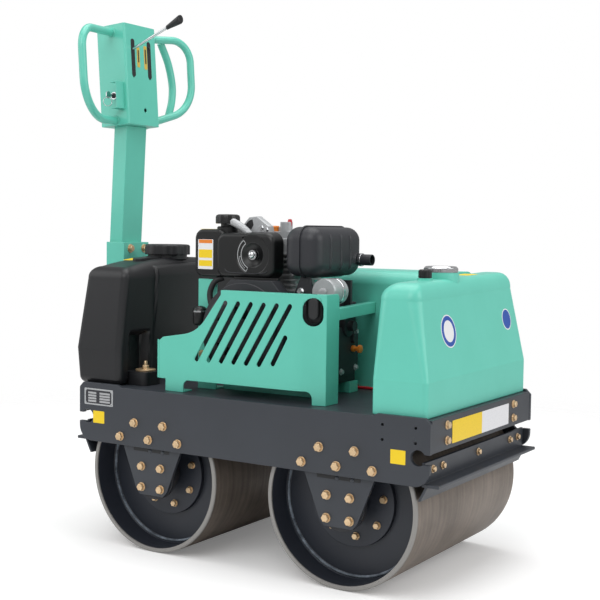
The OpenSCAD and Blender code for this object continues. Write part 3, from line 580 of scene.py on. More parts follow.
@dataclass
class Piece:
    """One object grown from point grids, each a two-parameter surface."""

    name: str
    finish: Finish
    body: str = "chassis"
    sharp_deg: float = 38.0
    verts: list[np.ndarray] = field(default_factory=list)
    faces: list[np.ndarray] = field(default_factory=list)

    def add(self, grid: np.ndarray, around: bool = True) -> "Piece":
        """Adds a grid P[i, j] whose faces join (i, j), (i + 1, j), (i + 1, j + 1) and (i, j + 1).

        Args:
            grid: points of shape (rows, columns, 3), in metres.
            around: whether the last row joins the first.

        Returns:
            The piece itself.
        """
        rows, columns = grid.shape[:2]
        start = sum(len(block) for block in self.verts)
        index = np.arange(rows * columns).reshape(rows, columns) + start
        following = np.roll(index, -1, axis=0)
        kept = rows if around else rows - 1
        here, there = index[:kept], following[:kept]
        quads = np.stack([here[:, :-1], there[:, :-1], there[:, 1:], here[:, 1:]], axis=-1)
        self.verts.append(grid.reshape(-1, 3))
        self.faces.append(quads.reshape(-1, 4))
        return self

    def turn(self, spot: Spot, profile: list[tuple[float, float]], turns: int = 40,
             ripple: np.ndarray | None = None) -> "Piece":
        """Adds a part turned about a spot's outward axis."""
        grid = revolve(profile, turns, ripple)
        return self.add(spot.points(grid))

    def build(self, *nodes: str) -> bpy.types.Object:
        """Joins the grids in one mesh, closes their poles, shades it and hangs it on its body.

        Args:
            nodes: CAD nodes that the piece stands for, if any.

        Returns:
            The new object.
        """
        mesh = bpy.data.meshes.new(self.name)
        mesh.from_pydata(np.concatenate(self.verts), [], np.concatenate(self.faces).tolist())
        shell = bmesh.new()
        shell.from_mesh(mesh)
        bmesh.ops.remove_doubles(shell, verts=shell.verts, dist=SMALL)
        bmesh.ops.recalc_face_normals(shell, faces=shell.faces)
        shell.to_mesh(mesh)
        shell.free()
        mesh.shade_smooth()
        mesh.set_sharp_from_angle(angle=math.radians(self.sharp_deg))
        mesh.materials.append(self.finish.material())
        piece = bpy.data.objects.new(self.name, mesh)
        bpy.context.scene.collection.objects.link(piece)
        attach(piece, self.body)
        if nodes:
            weigh_normals(piece)
            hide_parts(*nodes)
        LOG.info("%s: %d faces", self.name, len(mesh.polygons))
        return piece


@dataclass(frozen=True)
class Bolt:
    """A hexagon head on a plain washer; sizes in millimetres."""

    across: float = 19.0
    head: float = 8.0
    washer: float = 14.0
    washer_t: float = 2.2

    def grids(self, spot: Spot) -> list[np.ndarray]:
        """Makes washer and head on a spot; the head is a revolved profile with a hexagon's ripple."""
        w, t, c = self.washer, self.washer_t, self.across / 2 / math.cos(math.pi / 6)
        washer = revolve([(0, 0), (w, 0), (w, t - 0.5), (w - 0.5, t), (0, t)], 28)
        head = revolve([(c, t), (c, t + self.head - 1.6), (0.9 * c, t + self.head - 0.3),
                        (0.84 * c, t + self.head), (0, t + self.head - 0.2)], 36, hexagon(36))
        return [spot.points(washer), spot.points(head)]


def add_bolts(name: str, spots: list[Spot], bolt: Bolt, body: str = "chassis",
              finish: Finish = ZINC) -> None:
    """Builds one piece of all the bolts on the given spots."""
    piece = Piece(name, finish, body, sharp_deg=28.0)
    for spot in spots:
        for grid in bolt.grids(spot):
            piece.add(grid)
    piece.build()


def add_plate(name: str, spot: Spot, size: tuple[float, float], corner: float, finish: Finish,
              body: str = "chassis", thick: float = 0.8) -> None:
    """Builds one flat label or plate on a spot."""
    Piece(name, finish, body).add(spot.points(rounded_plate(*size, corner, thick))).build()


def add_turned(name: str, spot: Spot, profile: list[tuple[float, float]], finish: Finish,
               body: str = "chassis", turns: int = 48, ripple: np.ndarray | None = None) -> None:
    """Builds one turned part on a spot."""
    Piece(name, finish, body).turn(spot, profile, turns, ripple).build()


@dataclass
class NodeLooks:
    """Finish and edge rounding of the CAD nodes."""

    layout: Layout
    edge_mm: float = 1.4
    fine_edge_mm: float = 0.5
    weld_mm: float = 0.02
    flat_deg: float = 0.3
    edge_deg: float = 42.0
    fine: tuple[str, ...] = ("cylinder", "oil_cap", "fuel_cap", "key_switch", "travel_lever",
                             "recoil_starter", "battery_lead", "right_grip", "left_grip", "crankcase")
    tanks: tuple[str, ...] = ("front_tank", "side_cover")
    blocks: tuple[str, ...] = ("crankcase",)

    def finishes(self) -> dict[str, Finish]:
        """Gives each material slot of the record its finish."""
        return {"charcoal_paint": CHARCOAL, "dark_iron": IRON, "black_plastic": PLASTIC,
                "green_paint": GREEN, "chrome": CHROME, "cast_aluminium": ALUMINIUM,
                "black_sheet": SHEET, "lever_black": PLASTIC, "red_cable": RED}

    def drum_finish(self, end: End) -> Finish:
        """Makes the finish of one drum, centred on its axle."""
        return RolledSteel(f"{end.label}_drum_rolled_steel", "#82776d", 0.46, 0.45,
                           axle_x=self.layout.mid_x + end.value * self.layout.wheel_x,
                           axle_z=self.layout.axle_z, drum_r=self.layout.drum_r)

    def dress(self) -> None:
        """Gives every node its finish and eases its edges."""
        finishes = self.finishes()
        drums = {f"{end.label}_drum": self.drum_finish(end) for end in End}
        for part in frame["record"]["subparts"]:
            name = part["node"]
            finish = drums.get(name) or finishes[part["material_slot"]]
            if name in self.tanks:
                finish = GREEN_TANK
            elif name in self.blocks:
                finish = IRON
            node = frame["nodes"][name]
            node.data.materials.clear()
            node.data.materials.append(finish.material())
            self.ease(node, self.fine_edge_mm if name in self.fine else self.edge_mm)

    def ease(self, node: bpy.types.Object, width_mm: float) -> None:
        """Welds the node's facets, joins the flat ones, rounds the sharp edges and shades by face size.

        Args:
            node: the CAD node.
            width_mm: width of the rounded edge.
        """
        mesh = node.data
        normals = mesh.attributes.get("custom_normal")
        if normals is not None:
            mesh.attributes.remove(normals)
        mesh.shade_smooth()
        weld = node.modifiers.new("weld", "WELD")
        weld.merge_threshold = self.weld_mm * MM
        flat = node.modifiers.new("flat", "DECIMATE")
        flat.decimate_type = "DISSOLVE"
        flat.angle_limit = math.radians(self.flat_deg)
        bevel = node.modifiers.new("edge", "BEVEL")
        bevel.width = width_mm * MM
        bevel.segments = 2
        bevel.limit_method = "ANGLE"
        bevel.angle_limit = math.radians(self.edge_deg)
        bevel.use_clamp_overlap = False
        weigh_normals(node)


@dataclass
class Drums:
    """Bolts of the hub covers and the welds inside the rims."""

    layout: Layout
    bolt_circle: float = 90.0
    bolts: int = 8
    first_deg: dict[End, float] = field(default_factory=lambda: {End.FRONT: -37.0, End.REAR: -27.7})
    hub_face: float = 236.0
    web_face: float = 222.0
    shell_t: float = 12.0
    bead_r: float = 3.4
    bead_at: tuple[float, float] = (7.0, 6.0)
    bead_steps: int = 720
    ripples: int = 160
    ripple_depth: float = 0.0025

    def build(self) -> None:
        """Dresses both drums."""
        for end in End:
            body = f"{end.label}_drum"
            self.add_hub_bolts(end, body)
            self.add_beads(end, body)

    def axle(self, end: End, y: float, side: Side) -> Spot:
        """Gives the spot on a drum's axle at a distance y from the middle, facing out."""
        x = end.value * self.layout.wheel_x / MM
        return self.layout.spot(x, side.value * y, self.layout.axle_z / MM, side.value * Y_AXIS)

    def add_hub_bolts(self, end: End, body: str) -> None:
        """Sets a circle of bolts on each hub cover."""
        angle = np.radians(self.first_deg[end] + np.arange(self.bolts) * 360 / self.bolts)
        spots = []
        for side in Side:
            hub = self.axle(end, self.hub_face, side)
            for a in angle:
                local = self.bolt_circle * np.array([math.cos(a), math.sin(a), 0])
                spots.append(Spot(hub.points(local), hub.out, hub.up))
        add_bolts(f"{body}_hub_bolts", spots, Bolt(across=15, head=8, washer=10), body)

    def add_beads(self, end: End, body: str) -> None:
        """Runs a rippled weld round each web, in the corner with the shell."""
        angle = full_turn(self.bead_steps)
        corner = self.layout.drum_r / MM - self.shell_t
        turn = np.linspace(0, 2 * np.pi, 9)
        away, out = self.bead_at
        profile = [(corner - away + self.bead_r * math.cos(t), out + self.bead_r * math.sin(t))
                   for t in turn]
        ripple = 1 + self.ripple_depth * np.sin(self.ripples * angle)
        # The beads' light patches are a painted highlight.
        piece = Piece(f"{body}_welds", WELD_BEAD_SHEEN, body)
        for side in Side:
            piece.turn(self.axle(end, self.web_face, side), profile, self.bead_steps, ripple)
        piece.build()


@dataclass
class Frame:
    """Bolts, painted shadow strips, plates and reflectors of the frame, and the guard's edge and plug."""

    layout: Layout
    plate_bolts: tuple[tuple[float, float], ...] = ((-50, 354), (50, 354), (-100, 312), (0, 312), (100, 312))
    bracket_bolts: tuple[tuple[float, float], ...] = ((-33, 235), (33, 235), (-33, 178), (33, 178))
    bracket_y: float = 306.0
    panel_x: float = 545.0
    panel_bolts: tuple[tuple[float, float], ...] = ((-225, 426), (-225, 389), (189, 426), (189, 389))
    scraper_x: float = 528.0
    scraper_bolts: tuple[float, ...] = (-264, -210, 0, 210, 264)
    scraper_bolt_z: float = 325.0
    nameplate: tuple[float, float, float, float] = (-527, -422, 390, 436)
    marks: tuple[tuple[float, float, float, float], ...] = ((-495, -454, 340, 374), (443, 483, 337, 371))
    strip: tuple[float, float, float] = (-195, -19, 156)
    strip_z: tuple[float, float] = (377, 432)
    rolled: tuple[float, float, float, float] = (-286, -286, 12, 3)
    shadow_spans: tuple[tuple[float, float], ...] = ((-62, -10), (2, 34), (44, 62))
    hole: tuple[float, float] = (196, 689)
    rolled_z: tuple[float, float] = (480, 583)

    def build(self) -> None:
        """Adds everything to the frame."""
        self.add_side_bolts()
        self.add_end_bolts()
        self.add_labels()
        self.add_reflector()
        self.add_guard_edge()
        self.add_bracket_shadows()
        self.add_plug()

    def add_plug(self) -> None:
        """Closes the guard's oval hole from behind with a moulded rubber plug: a flange and a domed face."""
        x, z = self.hole
        inner = self.layout.landing(frame["nodes"]["guard"], (x, -200, z - 46), -Y_AXIS)
        y = float(inner.at[1]) / MM
        plug = Piece("guard_plug", RUBBER)
        plug.add(self.layout.spot(x, y, z, Y_AXIS).points(rounded_plate(44, 74, 20, 8, 2)))
        face = eased_rows((-15, 15, -28, 28), 14, (-2, 5), 5)
        plug.add(self.layout.spot(x, y, z, -Y_AXIS).points(stack(face)))
        plug.build()

    def add_bracket_shadows(self) -> None:
        """Paints the shadow of each side plate's lower edge on its bracket as three black strips, with a
        tack weld in each gap.
        """
        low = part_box("right_side_plate")[0].z / MM
        painted_shadow, tacks = Piece("bracket_painted_shadows", RUBBER), Piece("bracket_tacks", CHARCOAL)
        for end in End:
            middle = end.value * self.layout.wheel_x / MM
            for side in Side:
                for start, stop in self.shadow_spans:
                    spot = self.layout.spot(middle + (start + stop) / 2, side.value * self.bracket_y,
                                            low - 5, side.value * Y_AXIS)
                    painted_shadow.add(spot.points(rounded_plate(stop - start, 14, 2, 0.6, 0.2)))
                for (_, before), (after, _) in zip(self.shadow_spans, self.shadow_spans[1:]):
                    spot = self.layout.spot(middle + (before + after) / 2, side.value * self.bracket_y,
                                            low - 8, side.value * Y_AXIS)
                    raised_points = [(6, 0), (5.4, 1.4), (3.6, 2.6), (1.6, 3.1), (0, 3.2)]
                    tacks.turn(spot, raised_points, 28)
        painted_shadow.build()
        tacks.build()

    def add_guard_edge(self) -> None:
        """Rolls the guard's rear edge inwards: a quarter ring, c + r (sin a, cos a), drawn up its height."""
        x, y, r, sheet = self.rolled
        turn = np.linspace(0, np.pi / 2, 12)
        outer = np.stack([-r * np.sin(turn), r * (1 - np.cos(turn))], axis=-1)
        inner = np.stack([-(r - sheet) * np.sin(turn), r - (r - sheet) * np.cos(turn)], axis=-1)
        arc = np.concatenate([outer, inner[::-1]])
        low, high = self.rolled_z
        middle = arc.mean(axis=0)
        rings = [(0, low), (1, low), (1, high), (0, high)]
        grid = np.stack([np.concatenate([middle + k * (arc - middle), np.full((len(arc), 1), h)], axis=-1)
                         for k, h in rings], axis=1)
        spot = self.layout.spot(x, y, 0, Z_AXIS, Y_AXIS)
        Piece("guard_rolled_edge", GREEN).add(spot.points(grid)).build()

    def add_side_bolts(self) -> None:
        """Bolts the hub brackets to the side plates and the axles to the brackets."""
        wheel, plate = self.layout.wheel_x / MM, self.layout.plate_y / MM
        for side in Side:
            out = side.value * Y_AXIS
            upper = [self.layout.spot(end.value * wheel + dx, side.value * plate, z, out)
                     for end in End for dx, z in self.plate_bolts]
            lower = [self.layout.spot(end.value * wheel + dx, side.value * self.bracket_y, z, out)
                     for end in End for dx, z in self.bracket_bolts]
            add_bolts(f"{side.label}_plate_bolts", upper, Bolt(across=18.5, head=9, washer=12.4))
            add_bolts(f"{side.label}_bracket_bolts", lower, Bolt(across=18, head=9, washer=12))

    def add_end_bolts(self) -> None:
        """Bolts the end panels and the scrapers."""
        for end in End:
            out = end.value * X_AXIS
            panel = [self.layout.spot(end.value * self.panel_x, y, z, out) for y, z in self.panel_bolts]
            scraper = [self.layout.spot(end.value * self.scraper_x, y, self.scraper_bolt_z, out)
                       for y in self.scraper_bolts]
            add_bolts(f"{end.label}_panel_bolts", panel, Bolt(across=15, head=7, washer=11))
            add_bolts(f"{end.label}_scraper_bolts", scraper, Bolt(across=13, head=6, washer=10))

    def near(self, box: tuple[float, float, float, float]) -> tuple[Spot, tuple[float, float]]:
        """Gives the spot and size of a plate on the right side plate, from its x and z limits."""
        left, right, low, high = box
        spot = self.layout.spot((left + right) / 2, -self.layout.plate_y / MM, (low + high) / 2, -Y_AXIS)
        return spot, (right - left, high - low)

    def add_labels(self) -> None:
        """Puts a blank riveted plate and two blank yellow marks on the right side plate."""
        spot, size = self.near(self.nameplate)
        add_plate("blank_nameplate", spot, size, 3, ALUMINIUM, thick=1.0)
        add_plate("nameplate_field", spot, (size[0] - 10, size[1] - 8), 2, SHEET, thick=1.2)
        cells = Piece("nameplate_cells", GREY_PRINT)
        for u, width in ((-23, 30), (23, 38)):
            for row in range(4):
                cell = Spot(spot.points(np.array([u, 10.5 - 7.6 * row, 1.2])), spot.out, spot.up)
                cells.add(cell.points(rounded_plate(width, 5.4, 0.8, 0.3, 0.1)))
        cells.build()
        rivets = Piece("nameplate_rivets", ALUMINIUM)
        for u in (-1, 1):
            for v in (-1, 1):
                corner = np.array([u * (size[0] / 2 - 6), v * (size[1] / 2 - 6), 1.2])
                rivet = Spot(spot.points(corner), spot.out, spot.up)
                rivets.turn(rivet, [(2.4, -0.2), (2.3, 0.5), (1.4, 1.1), (0, 1.3)], 16)
        rivets.build()
        for number, box in enumerate(self.marks, 1):
            spot, size = self.near(box)
            add_plate(f"yellow_mark_{number}", spot, size, 1.5, YELLOW, thick=0.5)

    def add_reflector(self) -> None:
        """Puts the two-colour reflector strip on the front panel."""
        low, high = self.strip_z
        for start, end, finish in zip(self.strip, self.strip[1:], (FILM_YELLOW, FILM_WHITE)):
            spot = self.layout.spot(self.panel_x, (start + end) / 2, (low + high) / 2, X_AXIS)
            add_plate(finish.name + "_strip", spot, (end - start, high - low), 2, finish, thick=0.6)


@dataclass
class Tanks:
    """The two tanks with their caps, discs and hold-downs."""

    layout: Layout
    deck: float = 446.0
    front_x: tuple[float, float] = (380, 528)
    front_y: float = 304.0
    front_h: float = 329.0
    band_h: float = 89.0
    front_lean: float = 38.0
    tapers: tuple[float, float] = (20, 3)
    corner_r: tuple[float, float] = (32, 16)
    far_more: float = 8.0
    edge_r: float = 14.0
    crown_r: float = 44.0
    crown_steps: int = 26
    fall: float = 13.0
    necks: tuple[tuple[str, float, float], ...] = (("fuel_cap", 3, 0), ("oil_cap", 3, -12))
    water_rows: tuple[tuple[float, ...], ...] = (
        (20, -571, -415, 300.5, 18), (100, -577, -413, 303, 18), (296, -551, -402, 289.5, 20))
    shoulder_r: float = 34.0
    crown: tuple[float, float] = (24, 250)
    crown_blend: tuple[float, float] = (290, 40)
    face_depth: float = 14.0
    face_blend: float = 8.0
    face_top: float = 320.0
    seam_w: float = 6.0
    niche_blend: tuple[float, float] = (12, 16)
    seam: tuple[float, float, float, float] = (160, -422, 29, 300)
    niche: tuple[float, float, float, float] = (180, 258, 144, -440)
    cap_at: tuple[float, float] = (-472, -22)
    cap_r: float = 67.0
    cap_lobes: int = 12
    tether: tuple[float, float] = (145, 44)
    feet: tuple[float, float] = (-391.7, 216)
    feet_z: float = 488.0
    discs: tuple[tuple[float, float, float], ...] = ((-144, 642, 41), (223, 650, 29))
    knurls: int = 72
    front_mark: tuple[float, float, float, float] = (432, 118, 40, 62)
    water_mark: tuple[float, float, float, float] = (-512, -132, 34, 50)
    ahead: float = 800.0
    above: float = 900.0

    def build(self) -> None:
        """Adds both tanks and everything on them."""
        front, water = self.add_front_tank(), self.add_water_tank()
        self.add_water_cap()
        spots = [self.layout.spot(self.feet[0], side.value * self.feet[1], self.feet_z, Z_AXIS, X_AXIS)
                 for side in Side]
        add_bolts("water_tank_hold_downs", spots, Bolt(across=17, head=9, washer=11, washer_t=2.6))
        studs = Piece("water_tank_studs", ZINC)
        for spot in spots:
            disc = [(20, -4), (28, -4), (28.4, -3.4), (28.4, 0.2), (27.6, 0.9), (0, 0.9)]
            studs.turn(spot, disc, 56)
            studs.turn(spot, [(5, 3), (5, 22), (4, 23.5), (0, 23.5)], 20)
        studs.build()
        self.add_oil_cap()
        self.add_discs(front)
        self.add_knurl()
        self.add_mark("front_tank_mark", front, self.front_mark)
        self.add_mark("water_tank_mark", water, self.water_mark)

    def ground(self) -> Spot:
        """Gives the spot on the ground midway between the drums, its right along X and its up along Y."""
        return self.layout.spot(0, 0, 0, Z_AXIS, Y_AXIS)

    def add_front_tank(self) -> bpy.types.Object:
        """Builds the front tank, leaning at the front, tapered at both sides and falling to the near one.

        The rows go straight from the band to the crown, which is a quarter round of radius R, and every
        height is lowered by fall * share of the height * (far - y) / (far - near).

        Returns:
            The tank.
        """
        (rear, ahead), wide, foot = self.front_x, self.front_y, self.deck
        near, far = wide - self.tapers[0], wide + self.far_more - self.tapers[1]
        turn = np.linspace(0, np.pi / 2, self.crown_steps)
        inset = self.crown_r * (1 - np.cos(turn))
        shelf = foot + self.front_h - self.crown_r
        crown = np.stack([rear + inset, ahead - self.front_lean - 0.6 * inset, inset - near, far - inset,
                          np.linspace(*self.corner_r, self.crown_steps),
                          shelf + self.crown_r * np.sin(turn)], axis=-1)
        box = (rear, ahead, -wide, wide + self.far_more)
        wall = eased_rows(box, self.edge_r, (foot, foot + 2 * self.band_h), 4)[:8]
        band = wall[-1].copy()
        band[-1] = foot + self.band_h
        top = crown[-1].copy()
        top[:4] = np.repeat([(top[0] + top[1]) / 2, (top[2] + top[3]) / 2], 2)
        top[4] = 0
        grid = stack(np.vstack([wall, band, crown, top]), 12, self.crown_steps)
        share = ramp(grid[..., 2], foot, self.front_h)
        low, high = self.crown_r - near, far - self.crown_r
        grid[..., 2] -= self.fall * share * (high - grid[..., 1]) / (high - low)
        tank = Piece("front_tank_shell", GREEN_TANK, sharp_deg=6).add(self.ground().points(grid))
        for node, lip, drop in self.necks:
            base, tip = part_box(node)
            r = (tip.y - base.y) / 2 / MM + lip
            foot_at = np.array([(base.x + tip.x) / 2, (base.y + tip.y) / 2, base.z + drop * MM])
            spot = Spot(foot_at, Z_AXIS, X_AXIS)
            tank.turn(spot, [(r + 1, -50), (r + 0.6, -12), (r, -4), (r, -0.4), (0, -0.4)], 90)
        return tank.build("front_tank")

    def add_water_tank(self) -> bpy.types.Object:
        """Builds the water tank from outlines up its height, with a crowned top.

        The top rises by c (1 - (y / w)^2); in front, the middle |y| < seam lies on its own leaning plane,
        and two niches for the hold-downs are set back.

        Returns:
            The tank.
        """
        table = np.array(self.water_rows).T
        height = np.unique(np.concatenate([np.linspace(20, 100, 9), np.linspace(100, 296, 40)]))
        rear, front, wide, corner = (np.interp(height, table[0], column) for column in table[1:])
        wall = np.stack([rear, front, -wide, wide, corner, height], axis=-1)
        low = eased_rows((*wall[0, :4],), corner[0], (0, 60), 20)[:8]
        turn = np.linspace(0, np.pi / 2, self.crown_steps)[1:]
        inset = self.shoulder_r * (1 - np.cos(turn))
        last = wall[-1]
        shoulder = np.stack([last[0] + inset, last[1] - inset, last[2] + inset, last[3] - inset,
                             np.linspace(corner[-1], 9, len(turn)),
                             last[5] + self.shoulder_r * np.sin(turn)], axis=-1)
        drawn = np.linspace(1, 0, 12)[1:, None]
        edge = shoulder[-1]
        middle = np.array([(edge[0] + edge[1]) / 2] * 2 + [0, 0])
        top = np.hstack([middle + drawn * (edge[:4] - middle), edge[4] * drawn, 0 * drawn + edge[5]])
        grid = stack(np.vstack([low[:-1], wall, shoulder, top]), 130, 24)
        x, y, z = grid[..., 0], np.abs(grid[..., 1]), grid[..., 2]
        face = np.interp(z, height, front)
        near_face = ramp(x - face, -self.face_depth, self.face_blend) * (z < self.face_top)
        seam_y, seam_x, lean, lean_h = self.seam
        plane = seam_x + lean * ramp(z, 0, lean_h)
        x_shift = (plane - face) * ramp(y, seam_y + self.seam_w / 2, -self.seam_w)
        inner, outer, niche_h, back = self.niche
        side_w, top_w = self.niche_blend
        hollow = (ramp(y, inner - side_w / 2, side_w) * ramp(y, outer + side_w / 2, -side_w)
                  * ramp(z, niche_h + top_w / 2, -top_w))
        x_shift += (back - face) * hollow
        rise, width = self.crown
        grid[..., 0] += x_shift * near_face
        bow = np.maximum(1 - (y / width) ** 2, 0)
        grid[..., 2] += self.deck + rise * bow * ramp(z, *self.crown_blend)
        shell = Piece("water_tank_shell", PLASTIC, sharp_deg=4.6)
        return shell.add(self.ground().points(grid)).build("water_tank")

    def add_water_cap(self) -> None:
        """Builds the lobed cap, r(a) = R (1 - k (1 - cos n a) / 2), with its neck, dished top and strap."""
        steps = 30 * self.cap_lobes
        angle = full_turn(steps)
        lobes = 1 - 0.03 * ((1 - np.cos(self.cap_lobes * angle)) / 2) ** 2
        crown_z = self.deck + self.water_rows[-1][0] + self.shoulder_r + self.crown[0]
        base = self.layout.spot(*self.cap_at, crown_z, Z_AXIS, Y_AXIS)
        r = self.cap_r
        cap = Piece("water_cap_knob", PLASTIC, sharp_deg=32)
        cap.turn(base, [(0, -6), (r - 9, -6), (r - 9, 7), (0, 7)], 72)
        skirt = [(r - 10, 6.5), (r - 1, 7), (r, 8.5), (r, 31), (r - 1.2, 34), (r - 4, 36.2), (r - 9, 37),
                 (r - 12, 37)]
        cap.turn(base, skirt, steps, lobes)
        top = [(r - 8, 36.4), (r - 12, 37), (r - 15, 36.6), (r - 17, 34), (r - 46, 34), (r - 48, 36),
               (0, 36.6)]
        cap.turn(base, top, 72)
        length, width = self.tether
        turn = np.linspace(0, np.pi, 17)
        end = [(width / 2 * math.cos(a), -length + width / 2 - width / 2 * math.sin(a)) for a in turn]
        strap = prism([(-width / 2, 0), *end[::-1], (width / 2, 0)], 6, 1.0)
        rise, wide = self.crown
        away = (strap[..., 1] + self.cap_at[1]) ** 2 - self.cap_at[1] ** 2
        strap[..., 2] -= rise * away / wide ** 2 - 0.4
        cap.add(base.points(strap))
        cap.build("water_cap")

    def add_oil_cap(self) -> None:
        """Builds the ribbed oil cap, r(a) = r (1 + k cos n a), on its neck."""
        low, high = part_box("oil_cap")
        drop = self.necks[1][2] * MM
        spot = Spot(np.array([(low.x + high.x) / 2, (low.y + high.y) / 2, low.z + drop]), Z_AXIS, X_AXIS)
        r, h = (high.y - low.y) / 2 / MM, 21.0
        angle = full_turn(192)
        cap = Piece("oil_cap_knob", NYLON, sharp_deg=30)
        skirt = [(r - 3, 0), (r, 0.6), (r, h - 4), (r - 1.5, h - 1.4), (r - 4, h), (r - 6, h)]
        cap.turn(spot, skirt, 192, 1 + 0.02 * np.cos(24 * angle))
        cap.turn(spot, [(r - 4, h - 0.4), (r - 6, h), (r - 8, h - 1.6), (0, h - 1.6)], 48)
        cap.build("oil_cap")

    def add_mark(self, name: str, tank: bpy.types.Object, place: tuple[float, float, float, float]) -> None:
        """Puts a blank yellow film on the top of a tank, at x and y, of a length and a width."""
        x, y, length, width = place
        top = self.layout.landing(tank, (x, y, self.above), -Z_AXIS, X_AXIS)
        add_plate(name, top, (width, length), 2, YELLOW, thick=0.5)

    def add_discs(self, tank: bpy.types.Object) -> None:
        """Puts two plain round discs on the front of the tank."""
        for number, (y, z, r) in enumerate(self.discs, 1):
            spot = self.layout.landing(tank, (self.ahead, y, z), -X_AXIS)
            add_turned(f"disc_{number}_rim", spot, [(r, -1), (r, 0.4), (0, 0.4)], WHITE)
            add_turned(f"disc_{number}_ring", spot, [(r - 3, 0.2), (r - 3, 0.6), (0, 0.6)], BLUE)
            if number == 1:
                add_turned("disc_1_middle", spot, [(0.66 * r, 0.4), (0.66 * r, 0.8), (0, 0.8)], WHITE)

    def add_knurl(self) -> None:
        """Wraps the fuel cap in a knurled band: r(a) = r (1 + k cos n a)."""
        low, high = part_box("fuel_cap")
        steps = 6 * self.knurls
        angle = full_turn(steps)
        r, h = (high.y - low.y) / 2 / MM + 0.4, (high.z - low.z) / MM
        profile = [(r - 2, 0.4), (r, 1.2), (r, h - 5.5), (r - 2, h - 4.6)]
        spot = Spot(np.array([(low.x + high.x) / 2, (low.y + high.y) / 2, low.z]), Z_AXIS, X_AXIS)
        ripple = 1 + 0.008 * np.cos(self.knurls * angle)
        add_turned("fuel_cap_knurl", spot, profile, CHROME, turns=steps, ripple=ripple)


